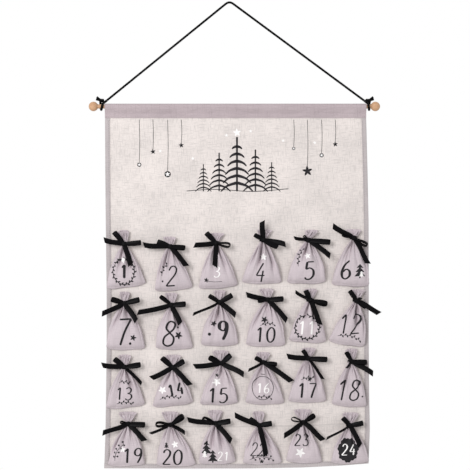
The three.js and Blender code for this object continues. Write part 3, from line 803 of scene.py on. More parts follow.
# Camera, light and floor
@dataclass
class Studio:
    """The plain studio: a camera square to the banner, soft light from the upper left, a pale floor."""

    view_height: float = 893.5
    view_centre: Pair = (10.8, -442.9)
    camera_distance: float = 2600
    sensor: float = 36
    sky_strength: float = 0.68
    key_power: float = 62
    key_place: Triple = (-1500, -3100, 400)
    key_size: float = 1300
    floor_level: float = -1250
    floor_radius: float = 1500
    floor_sides: int = 96

    def build(self) -> None:
        """Makes the camera, the sky, the key light and the floor."""
        self.set_camera()
        self.set_sky()
        self.set_key()
        self.lay_floor()
        bpy.context.scene.view_settings.view_transform = "Standard"

    def set_camera(self) -> None:
        """Looks along +Y at the middle of the photographed frame, from far enough for its flat view."""
        data = bpy.data.cameras.new("camera")
        data.sensor_width = self.sensor
        data.lens = self.sensor * self.camera_distance / self.view_height
        camera = bpy.data.objects.new("camera", data)
        x, z = self.view_centre
        camera.location = (x * MM, -self.camera_distance * MM, z * MM)
        camera.rotation_euler = (math.pi / 2, 0, 0)
        bpy.context.scene.collection.objects.link(camera)
        bpy.context.scene.camera = camera

    def set_sky(self) -> None:
        """A white backdrop for the camera and in gloss, and a softer white that lights the object."""
        world = bpy.data.worlds.new("sky")
        world.use_nodes = True
        tree = world.node_tree
        background = tree.nodes["Background"]
        background.inputs["Color"].default_value = (1, 1, 1, 1)
        paths = tree.nodes.new("ShaderNodeLightPath")
        seen = paths.outputs["Is Camera Ray"]
        for name in ("Is Glossy Ray", "Is Transmission Ray"):
            join = tree.nodes.new("ShaderNodeMath")
            join.operation = "MAXIMUM"
            tree.links.new(seen, join.inputs[0])
            tree.links.new(paths.outputs[name], join.inputs[1])
            seen = join.outputs[0]
        strength = tree.nodes.new("ShaderNodeMapRange")
        strength.inputs["To Min"].default_value = self.sky_strength
        strength.inputs["To Max"].default_value = 1
        tree.links.new(seen, strength.inputs["Value"])
        tree.links.new(strength.outputs[0], background.inputs["Strength"])
        bpy.context.scene.world = world

    def set_key(self) -> None:
        """A large soft lamp to the upper left, in front of the banner."""
        data = bpy.data.lights.new("key_light", "AREA")
        data.size = self.key_size * MM
        data.energy = self.key_power
        lamp = bpy.data.objects.new("key_light", data)
        lamp.location = [value * MM for value in self.key_place]
        x, z = self.view_centre
        way = Vector((x * MM, 0, z * MM)) - lamp.location
        lamp.rotation_euler = way.to_track_quat("-Z", "Y").to_euler()
        bpy.context.scene.collection.objects.link(lamp)

    def lay_floor(self) -> None:
        """A thin pale disc below the banner, its rings running out from the middle."""
        angle = round_turn(self.floor_sides)
        reach = np.array([0.01, 1, 1, 0.01])[:, None] * self.floor_radius
        level = self.floor_level - np.array([0, 0, 4, 4])[:, None]
        rings = [reach * np.cos(angle), reach * np.sin(angle), np.broadcast_to(level, (4, len(angle)))]
        bench = Bench("pale_floor")
        clouds = bench.noise(bench.place("Object", (1, 1, 1)), 3, 2)
        pale = bench.blend(clouds, linear((236, 235, 234)), linear((243, 242, 241)))
        bench.shade(Base_Color=pale, Roughness=0.9)
        make_piece("floor", [tubes(np.stack(rings, -1)[None])], [bench.material])


# The banner's outline and the panel's folds
@dataclass(frozen=True)
class Outline:
    """How the banner's edges wander and its front swells, as shares of the binding's width."""

    down_shares: tuple[float, ...] = (0, 0.15, 0.3, 0.5, 0.65, 0.8, 0.9, 1)
    left_out_shares: tuple[float, ...] = (0.15, 0.08, -0.02, -0.2, -0.2, -0.08, 0.06, 0.3)
    right_out_shares: tuple[float, ...] = (-0.46, -0.18, 0.05, 0.09, 0.09, 0.18, 0.32, 0.06)
    across_shares: tuple[float, ...] = (0, 0.3, 0.55, 0.75, 0.9, 1)
    bottom_up_shares: tuple[float, ...] = (0.02, -0.03, 0, 0.2, 0.62, 1.05)
    fold_height: float = 0.8
    fold_fade: float = 30
    fold_full_share: float = 0.35
    crease_down_share: float = 0.886
    crease_height_share: float = 0.8
    crease_spread_share: float = 0.007
    crease_fade_share: float = 0.08

    def left(self, down: Array | float) -> Array:
        """Place of the left edge at a share of the way down."""
        out = np.interp(down, self.down_shares, self.left_out_shares)
        return FRAME.left_edge - FRAME.binding_width * out

    def right(self, down: Array | float) -> Array:
        """Place of the right edge at a share of the way down."""
        out = np.interp(down, self.down_shares, self.right_out_shares)
        return FRAME.right_edge + FRAME.binding_width * out

    def bottom(self, across: Array | float) -> Array:
        """Height of the bottom edge at a share of the way across."""
        rise = np.interp(across, self.across_shares, self.bottom_up_shares)
        return FRAME.bottom_level + FRAME.binding_width * rise

    def down_at(self, across: Array | float, level: Array) -> Array:
        """Share of the way down from the top seam at a height."""
        share = (FRAME.seam_level - level) / (FRAME.seam_level - self.bottom(across))
        return held(share)

    def fold(self, x: Array, down: Array) -> Array:
        """How far the panel stands off its plane.

        A squared cosine across the columns of bags, growing down to the first row, or one cross crease,
        whichever is more, and small slow ripples, all fading towards the bindings and the bottom.

        Args:
            x: places across.
            down: shares of the way down.

        Returns:
            The distance towards the front.
        """
        ridge = np.cos(math.pi * (x - FRAME.first_column) / FRAME.column_pitch) ** 2
        ridge = ridge * held(down / self.fold_full_share)
        crease = np.exp(-np.abs(down - self.crease_down_share) / self.crease_spread_share)
        room = np.minimum(x - FRAME.left_edge, FRAME.right_edge - x) - 2 * FRAME.binding_width
        fade = held(room / self.fold_fade) * held((1 - down) / self.crease_fade_share)
        ripple = 0.07 * np.sin(x / 19 + 9 * down) + 0.06 * np.sin(x / 43 - 31 * down)
        return fade * (self.fold_height * np.maximum(ridge, self.crease_height_share * crease) + ripple)

    def front(self, place: Array) -> tuple[Array, Array]:
        """Points of the panel's front, and the way out of it.

        Args:
            place: x and height below the hanging point, (..., 2).

        Returns:
            The points and the outward directions, (..., 3) each.
        """
        x = place[..., 0]
        level = place[..., 1]
        across = held((x - FRAME.left_edge) / FRAME.banner_width)
        depth = FRAME.cloth_plane - self.fold(x, self.down_at(across, level + FRAME.hang_drop))
        return np.stack([x, depth, level], -1), np.broadcast_to(FORWARD, (*x.shape, 3))


OUTLINE = Outline()


THREAD_SLOT = 1


@dataclass(frozen=True)
class Stitches:
    """Running stitches: short flattened threads, thinner towards both ends."""

    pitch: float = 3.4
    length: float = 2.5
    end_radius: float = 0.08
    swell: float = 0.3
    flatness: float = 0.7

    def along(self, path: Array) -> Shell:
        """Sews along a line, (points, 3): half an oval's swell along each thread, a round section.

        Args:
            path: the line, (points, 3).

        Returns:
            The closed shell of all stitches.
        """
        line = evenly(path, self.pitch)
        middle = ((line[1:] + line[:-1]) / 2)[:, None, None]
        way = unit(np.diff(line, axis=0))[:, None, None]
        side = np.cross(way, FORWARD)
        share = np.linspace(-1, 1, 5)[:, None, None]
        radius = self.end_radius + self.swell * np.sqrt(1 - share**2)
        angle = round_turn(6)[:, None]
        spoke = radius * (np.cos(angle) * side + np.sin(angle) * FORWARD * self.flatness)
        return tubes(middle + way * share * self.length / 2 + spoke, THREAD_SLOT)



# The hanger
@dataclass
class Hanger:
    """The dowel with its end balls, and the cord that is hitched round it on both sides."""

    finishes: Finishes
    ball_radius: float = 9
    left_ball_reach: float = 22.9
    right_ball_reach: float = 12.9
    bore_share: float = 0.45
    rim_break: float = 0.4
    end_break: float = 0.5
    end_taper: float = 1
    cord_radius: float = 2
    cord_fullness: float = 1.05
    hitch_fullness: float = 1.12
    cord_bend_radius: float = 9
    cord_step: float = 20
    bend_steps: int = 12
    lead_clearance: float = 2.4
    lead_radii: float = 4
    yarn_pairs: int = 3
    yarn_slant: float = 0.9
    yarn_relief: float = 0.08
    left_wrap_pitch: float = 8.4
    right_wrap_pitch: float = 5.4
    wrap_turns: float = 0.75
    wrap_steps: int = 24
    knot_length: float = 11
    knot_height: float = 7
    knot_depth: float = 8
    knot_rise: float = 11.4
    knot_turns: float = 2.75
    knot_thread_share: float = 0.85
    tail_length: float = 9
    tail_way_shares: tuple[Pair, ...] = ((0.9, 0.55), (1, 0.2))

    @property
    def wrap_radius(self) -> float:
        """Distance of the hitch's centreline from the dowel's axis."""
        return FRAME.dowel_radius + FRAME.gap + self.cord_radius

    def run(self, top_x: float) -> tuple[Array, Array]:
        """One straight run of the cord, from the dowel's top to the nail.

        Args:
            top_x: where it meets the dowel.

        Returns:
            The joint with the hitch, and the unit way to the nail, in the dowel's frame.
        """
        start = np.array([top_x, 0, self.wrap_radius])
        along = unit(self.nail - start)
        return start + along * self.lead_radii * self.cord_radius, along

    @property
    def nail(self) -> Array:
        """Where the two runs would meet above the nail."""
        return np.array([0, 0, FRAME.hang_drop + self.cord_radius])

    def cord_route(self) -> Array:
        """The hanging cord's centreline: a run up, a small bend over the nail (quadratic), a run down.

        Returns:
            The route's points.
        """
        left, up = self.run(float(OUTLINE.left(0)) - self.lead_clearance)
        right, down = self.run(float(OUTLINE.right(0)) + self.lead_clearance)
        ends = [left + up * FRAME.gap, right + down * FRAME.gap]
        bends = [self.nail - up * self.cord_bend_radius, self.nail - down * self.cord_bend_radius]
        t = np.linspace(0, 1, self.bend_steps + 1)[1:-1, None]
        bend = (1 - t) ** 2 * bends[0] + 2 * t * (1 - t) * self.nail + t**2 * bends[1]
        runs = [evenly(np.stack([ends[0], bends[0]]), self.cord_step)]
        runs += [bend, evenly(np.stack([bends[1], ends[1]]), self.cord_step)]
        return np.concatenate(runs) + DROP

    def braided(self, path: Array, radius: float, step: float = 0.9, sides: int = 18) -> Shell:
        """A tube whose radius swells where yarns of two opposite slants come to the top.

        Args:
            path: the centreline.
            radius: the cord's radius.
            step: from ring to ring.
            sides: points of a ring.

        Returns:
            The closed shell.
        """
        line = evenly(path, step)
        twist = self.yarn_slant * np.linspace(0, line_length(line), len(line))[:, None]
        turn = self.yarn_pairs * round_turn(sides)
        relief = np.maximum(np.abs(np.sin(turn + twist)), np.abs(np.sin(turn - twist))) - 1
        return tubes(strand(line, radius * (1 + self.yarn_relief * relief) * self.cord_fullness, sides)[None])

    def build(self) -> None:
        """Makes the cord first, then its hitches, the balls and the dowel."""
        route = self.cord_route()
        shells = [self.braided(route, self.cord_radius)]
        cord = stand_in("braided_cord", "hanging_cord", shells, [self.finishes.braid], 80)
        hitches = [
            self.hitch("left", float(OUTLINE.left(0)) - self.lead_clearance, -1, self.left_wrap_pitch),
            self.hitch("right", float(OUTLINE.right(0)) + self.lead_clearance, 1, self.right_wrap_pitch),
        ]
        line_length(route) * MM
        left_x = FRAME.left_edge - self.left_ball_reach
        right_x = FRAME.right_edge + self.right_ball_reach
        balls = [self.ball("left", left_x, 1), self.ball("right", right_x, -1)]
        for piece in (cord, *hitches, *balls, self.dowel(left_x, right_x)):
            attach(piece, "hanger")
            log.info("made %s", piece.name)

    def hitch(self, side: str, top_x: float, outward: int, pitch: float) -> Piece:
        """A hitch: the strand goes round the dowel and up into a knot of tight turns with two tails.

        Args:
            side: left or right.
            top_x: where the run meets the dowel.
            outward: the way along X to the ball, 1 or -1.
            pitch: how far one turn travels along the dowel.

        Returns:
            The piece.
        """
        joint, along = self.run(top_x)
        radius = self.cord_radius
        turn = TURN * np.arange(2, round(self.wrap_steps * self.wrap_turns) + 1) / self.wrap_steps
        wrap = np.stack([top_x + outward * pitch * turn / TURN, -np.sin(turn), np.cos(turn)], -1)
        wrap[:, 1:] *= self.wrap_radius
        x, y, _ = wrap[-1]
        rise = [[x, y, 2 * radius], [x, y - radius, self.wrap_radius + radius]]
        rise += [[x, y - 2 * radius, self.knot_rise]]
        path = np.concatenate([[joint, joint - along * 2 * radius], wrap, rise])
        knot = np.array([x - outward * self.knot_length / 4, y - 2 * radius, self.knot_rise])
        shells = [self.braided(through(path, 6) + DROP, radius * self.hitch_fullness)]
        thread = radius * self.knot_thread_share
        share = np.linspace(0, 1, 90)
        wind = TURN * self.knot_turns * share
        across, deep, high = np.array([self.knot_length, self.knot_depth, self.knot_height]) / 2 - thread
        coil = np.stack([across * (2 * share - 1), deep * np.cos(wind), high * np.sin(wind)], -1)
        shells.append(self.braided(knot + coil + DROP, thread, 0.5, 14))
        for out_share, up_share in self.tail_way_shares:
            way = unit(np.array([outward * out_share, 0, up_share]))
            middle = knot + way * (radius + self.tail_length / 2)
            tip = knot + way * (radius + self.tail_length) + [0, 0, radius * up_share]
            shells.append(self.braided(through(np.array([knot, middle, tip]), 8) + DROP, radius))
        braid = [self.finishes.braid]
        return stand_in(f"{side}_hitch", f"{side}_cord_tie", shells, braid, 80)

    def lathe(self, centre: float, direction: int, profile: Array, sides: int = 64) -> Shell:
        """A turned piece on the dowel's axis, from distances along it and radii.

        Args:
            centre: where the distances start on the axis.
            direction: their way along X, 1 or -1.
            profile: distances and radii, (points, 2).
            sides: points of a ring.

        Returns:
            The closed shell.
        """
        angle = round_turn(sides)
        reach = profile[:, 1:]
        along = np.broadcast_to(centre + direction * profile[:, :1], (len(profile), sides))
        rings = np.stack([along, reach * np.cos(angle), reach * np.sin(angle)], -1)
        return tubes((rings + DROP)[None])

    def ball(self, side: str, centre: float, direction: int) -> Piece:
        """A ball turned as an arc from its pole to the bore's softly broken rim, and the blind bore.

        Args:
            side: left or right.
            centre: its middle on the axis.
            direction: its bore's way along X, 1 or -1.

        Returns:
            The piece.
        """
        bore = FRAME.dowel_radius + FRAME.gap
        mouth = math.asin((bore + self.rim_break) / self.ball_radius)
        angle = np.linspace(math.pi - 0.03, mouth, 34)
        arc = self.ball_radius * np.stack([np.cos(angle), np.sin(angle)], -1)
        face = self.ball_radius * math.cos(mouth)
        end = -self.ball_radius * self.bore_share
        hole = np.array([[face - 0.12, bore + 0.12], [face - 0.45, bore], [end, bore], [end, 0.1]])
        shells = [self.lathe(centre, direction, np.concatenate([arc, hole]))]
        return stand_in(f"{side}_wooden_ball", f"{side}_ball", shells, [self.finishes.wood])

    def dowel(self, left_x: float, right_x: float) -> Piece:
        """The round rod between the bores, its ends slightly broken.

        Args:
            left_x: the left ball's middle.
            right_x: the right ball's middle.

        Returns:
            The piece.
        """
        reach = self.ball_radius * self.bore_share - FRAME.gap
        start, end = left_x - reach, right_x + reach
        broken = self.end_break
        stations = [[start, start + broken], np.linspace(start + 1, end - 1, 24), [end - broken, end]]
        stations = np.concatenate(stations)
        radii = np.full(len(stations), float(FRAME.dowel_radius))
        radii[[0, -1]] -= self.end_taper
        shells = [self.lathe(0, 1, np.stack([stations, radii], -1), 48)]
        return stand_in("turned_dowel", "dowel", shells, [self.finishes.wood])


# Prints: ink laid on a cloth
class Ink(Enum):
    """The two inks, by the number of their material on a print."""

    BLACK = 0
    WHITE = 1


class Pen(Enum):
    """A figure's hand: stroke and width as shares of its height, how much level strokes thin, its slope."""

    THIN = (0.084, 0.74, 0.25, 0.16)
    BRUSH = (0.14, 0.84, 0.5, 0.06)
    BOLD = (0.2, 0.78, 0.66, 0)


# Strokes of each digit, through places across and up, as shares of its height
DIGIT_SHARES = {
    "0": [
        [(0.3, 1), (0.05, 0.76), (0, 0.45), (0.09, 0.12), (0.3, 0)]
        + [(0.52, 0.15), (0.6, 0.5), (0.53, 0.85), (0.3, 1)],
    ],
    "1": [[(0.08, 0.78), (0.32, 1)], [(0.32, 1), (0.3, 0)]],
    "2": [
        [(0.04, 0.78), (0.15, 0.96), (0.35, 1), (0.54, 0.86), (0.5, 0.6), (0.24, 0.28), (0, 0)],
        [(0, 0), (0.6, 0.03)],
    ],
    "3": [
        [(0.04, 0.9), (0.28, 1), (0.53, 0.86), (0.47, 0.62), (0.2, 0.53)],
        [(0.2, 0.53), (0.52, 0.45), (0.6, 0.22), (0.42, 0.02), (0.15, 0), (0, 0.12)],
    ],
    "4": [[(0.4, 1), (0.02, 0.34)], [(0.02, 0.34), (0.62, 0.34)], [(0.46, 0.6), (0.44, 0)]],
    "5": [
        [(0.56, 0.99), (0.12, 0.97)],
        [(0.12, 0.97), (0.06, 0.55)],
        [(0.06, 0.55), (0.3, 0.63), (0.55, 0.5), (0.58, 0.22), (0.38, 0.02), (0.14, 0), (0, 0.1)],
    ],
    "6": [
        [(0.5, 1), (0.2, 0.76), (0.03, 0.4), (0.08, 0.1), (0.3, 0)]
        + [(0.54, 0.16), (0.52, 0.42), (0.3, 0.52), (0.06, 0.36)],
    ],
    "7": [[(0, 0.97), (0.58, 0.98)], [(0.58, 0.98), (0.37, 0.55), (0.22, 0)]],
    "8": [
        [(0.3, 0.54), (0.08, 0.72), (0.13, 0.94), (0.32, 1), (0.52, 0.9), (0.49, 0.7), (0.3, 0.54)],
        [(0.3, 0.54), (0.05, 0.36), (0.03, 0.11), (0.27, 0), (0.53, 0.09), (0.56, 0.34), (0.3, 0.54)],
    ],
    "9": [
        [(0.53, 0.68), (0.34, 0.5), (0.08, 0.59), (0.05, 0.84), (0.26, 1)]
        + [(0.49, 0.91), (0.54, 0.66), (0.47, 0.33), (0.27, 0)],
    ],
}

DIGIT_WIDTH = 0.62

Carry = Callable[[Array], tuple[Array, Array]]
Line = list | Array


@dataclass
class Print:
    """Ink on one cloth: every mark is a thin closed skin that follows the cloth's surface."""

    carry: Carry
    lift: float = 0.13
    layer_rise: float = 0.12
    step: float = 0.8
    tip_share: float = 0.3
    hub_share: float = 0.02
    star_notch: float = 0.6
    leaf_width: float = 2.6
    large_dot: float = 10
    wreath_width: float = 1.5
    wreath_leaf: float = 5.2
    leaf_pitch: float = 3.8
    stem_bow: float = 0.12
    line_width: float = 1.1
    shells: list[Shell] = field(default_factory=list)

    def wrap(self, plane: Array, layer: int) -> tuple[Array, Array]:
        """The upper and the under side of ink over points of the drawing plane."""
        points, out = self.carry(plane)
        return points + out * (self.lift + self.layer_rise * layer), points - out * self.lift

    def stroke(
        self, points: Line, width: float, ink: Ink, layer: int = 0, taper: float = 0, contrast: float = 0
    ) -> None:
        """A brush stroke: a band about a smooth line, round at both ends.

        Args:
            points: the line's places on the drawing plane.
            width: its greatest width.
            ink: its colour.
            layer: its place above other ink.
            taper: the share of the width that it loses towards its end.
            contrast: the share of the width that it loses where it runs level, as a broad pen does.
        """
        line = evenly(through(np.array(points, float), 8), self.step)
        length = line_length(line)
        reach = np.linspace(0, length, len(line))
        end = held(np.minimum(reach, length - reach) / (width / 2))
        half = width / 2 * np.maximum(np.sqrt(1 - (1 - end) ** 2), self.tip_share)
        half = half * (1 - taper * reach / length)
        way = unit(np.gradient(line, axis=0))
        side = np.stack([way[:, 1], -way[:, 0]], -1)
        half = half * (1 - contrast * np.abs(way[:, 0]) ** 1.5)
        across = np.linspace(-1, 1, 3 if width < 1.5 else 5)
        plane = line[:, None] + side[:, None] * across[None, :, None] * half[:, None, None]
        self.shells.append(slab(*self.wrap(plane, layer), ink.value))

    def blot(self, x: float, z: float, outline: Array, ink: Ink, layer: int = 0) -> None:
        """A filled form: its outline drawn in towards its middle, over and under.

        Args:
            x: its middle across.
            z: its middle upward.
            outline: the outline's points from the middle, (points, 2).
            ink: its colour.
            layer: its place above other ink.
        """
        size = float(np.abs(outline).max())
        reach = np.linspace(self.hub_share, 1, max(4, round(size / self.step)))[:, None, None]
        over, under = self.wrap(np.array([x, z]) + outline * reach, layer)
        self.shells.append(tubes(np.concatenate([over, under[::-1]])[None], ink.value))

    def dot(self, x: float, z: float, radius: float, ink: Ink, squash: float = 1) -> None:
        """A round or oval spot; a large one has the rough edge of a brushed one.

        Args:
            x: its middle across.
            z: its middle upward.
            radius: its half width.
            ink: its colour.
            squash: its height as a share of its width.
        """
        large = radius > self.large_dot
        angle = round_turn(120 if large else 28)
        rough = radius * (1 + (0.05 * np.sin(7 * angle) + 0.04 * np.sin(17 * angle)) * large)
        self.blot(x, z, np.stack([rough * np.cos(angle), squash * rough * np.sin(angle)], -1), ink)

    def star(self, x: float, z: float, radius: float, ink: Ink, layer: int = 0, tilt: float = 0.1) -> None:
        """A plain five-pointed star: the radius falls from each point to the notch beside it.

        Args:
            x: its middle across.
            z: its middle upward.
            radius: from its middle to its points.
            ink: its colour.
            layer: its place above other ink.
            tilt: radians that it is turned by.
        """
        angle = round_turn(40)
        notch = np.abs((5 * angle / TURN + 0.5) % 1 - 0.5) * 2
        reach = radius * (1 - self.star_notch * notch**0.8)
        turned = angle + math.pi / 2 + tilt
        outline = reach[:, None] * np.stack([np.cos(turned), np.sin(turned)], -1)
        self.blot(x, z, outline, ink, layer)

    def oval(self, x: float, z: float, radii: Pair, gap: float, count: int) -> tuple[Array, Array]:
        """Angles and points of an oval line, from its top round to its top, open by a gap on each side.

        Args:
            x: its middle across.
            z: its middle upward.
            radii: its half width and half height.
            gap: the open share of the turn on each side.
            count: how many points.

        Returns:
            The angles and the points.
        """
        angle = TURN * np.linspace(gap, 1 - gap, count) + math.pi / 2
        return angle, np.stack([x + radii[0] * np.cos(angle), z + radii[1] * np.sin(angle)], -1)

    def ring(self, x: float, z: float, radii: Pair, ink: Ink) -> None:
        """A wreath: an oval line with short leaves along it, turned out and in by turns.

        Args:
            x: its middle across.
            z: its middle upward.
            radii: its half width and half height.
            ink: its colour.
        """
        angle, oval = self.oval(x, z, radii, 0.02, 64)
        self.stroke(oval, self.wreath_width, ink)
        for number, (turn, place) in enumerate(zip(angle[1::2], oval[1::2])):
            lean = turn + (0.8 if number % 2 else 2.4)
            self.leaf(place, place + self.wreath_leaf * np.array([math.cos(lean), math.sin(lean)]), ink)

    def hoop(self, x: float, z: float, radius: float, ink: Ink) -> None:
        """A bauble in outline: a round line, open at its cap, and the cap's short strokes.

        Args:
            x: its middle across.
            z: its middle upward.
            radius: its half width.
            ink: its colour.
        """
        _, oval = self.oval(x, z, (radius, 1.1 * radius), 0.03, 40)
        self.stroke(oval, self.line_width, ink)
        for rise in (1.08, 1.3):
            ends = [(x + side * radius, z + rise * radius) for side in (-0.22, 0.22)]
            self.stroke(ends, self.line_width, ink)

    def fir(self, x: float, z: float, height: float, ink: Ink) -> None:
        """A line-drawn fir: a trunk and pairs of boughs that droop and shorten towards the top.

        Args:
            x: its middle across.
            z: its middle upward.
            height: its height.
            ink: its colour.
        """
        self.stroke([(x, z - height / 2), (x, z + height / 2)], height * 0.035, ink)
        for share in np.arange(6) / 6:
            level = z - height * (0.34 - 0.8 * share)
            reach = height * 0.3 * (1 - 0.82 * share)
            for way in (-reach, reach):
                bend = (x + way * 0.6, level - reach * 0.2)
                tip = (x + way, level - reach * 0.55)
                self.stroke([(x, level), bend, tip], height * 0.06, ink, taper=0.6)

    def leaf(self, base: Array, tip: Array, ink: Ink) -> None:
        """A small leaf, pointed at both ends: a cosine along it and a sine drawn in towards the ends.

        Args:
            base: where it grows.
            tip: its other end.
            ink: its colour.
        """
        along = (tip - base) / 2
        side = unit(np.array([-along[1], along[0]])) * self.leaf_width / 2
        angle = round_turn(16)[:, None]
        self.blot(*(base + along), np.cos(angle) * along + powered(np.sin(angle), 1.5) * side, ink)

    def pine(self, x: float, z: float, height: float, ink: Ink, layer: int = 0) -> None:
        """A solid fir: three triangles that widen downward, on a short trunk.

        Args:
            x: its middle across.
            z: its middle upward.
            height: its height.
            ink: its colour.
            layer: its place above other ink.
        """
        self.stroke([(x, z - height * 0.3), (x, z - height / 2)], height * 0.1, ink, layer)
        corners = np.array([(0, 0.34), (0.5, -0.24), (0, -0.2), (-0.5, -0.24), (0, 0.34)])
        outline = evenly(corners, 0.08)[:-1]
        for tier, share in enumerate((0.75, 0.6, 0.45)):
            self.blot(x, z + height * (0.25 * tier - 0.2), outline * height * share, ink, layer)

    def sprig(self, start: Pair, end: Pair, ink: Ink, berries: bool = False) -> None:
        """A bent stem with leaves on both sides, or berries on short stalks.

        Args:
            start: the stem's foot.
            end: the stem's tip.
            ink: its colour.
            berries: whether it bears berries, not leaves.
        """
        first, way = np.array(start), np.subtract(end, start)
        side = np.array([-way[1], way[0]])
        length = math.hypot(*way)
        share = np.linspace(0, 1, max(6, round(length / self.leaf_pitch)))[:, None]
        line = first + way * share + side * self.stem_bow * np.sin(math.pi * share)
        self.stroke(line, 0.8, ink)
        for number, place in enumerate(line[1:]):
            turn = -1 if number % 2 else 1
            tip = place + (2.6 * way + 3.6 * turn * side) / length
            if berries:
                self.stroke([place, tip], 0.6, ink)
                self.dot(*tip, 1.7, ink)
            else:
                self.leaf(place, tip, ink)

    def figure(self, text: str, label: "Label") -> None:
        """Plain figures side by side, centred on the label's place and leaning against the clock.

        Args:
            text: the digits.
            label: gives their place, height, pen, ink and tilt.
        """
        stroke, wide, contrast, slope = label.pen.value
        height, cosine, sine = label.height, math.cos(label.tilt), math.sin(label.tilt)
        pitch = height * (wide * DIGIT_WIDTH + stroke + 0.06)
        turn = np.array([[cosine, sine], [-sine, cosine]])
        for number, digit in enumerate(text):
            offset = (number - (len(text) - 1) / 2) * pitch
            for shares in DIGIT_SHARES[digit]:
                local = (np.array(shares) - [0.3, 0.5]) * [wide, 1]
                local[:, 0] += slope * local[:, 1]
                local = (local * height + [offset, 0]) @ turn + [label.x, label.z]
                self.stroke(local, height * stroke, label.ink, layer=1, contrast=contrast)

    def finish(self, name: str, body: str, finishes: Finishes) -> Piece:
        """Makes the print one piece that rides on a body.

        Args:
            name: the piece's name.
            body: the body that it rides on.
            finishes: the materials.

        Returns:
            The piece.
        """
        piece = make_piece(name, self.shells, [finishes.black_ink, finishes.white_ink])
        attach(piece, body)
        return piece


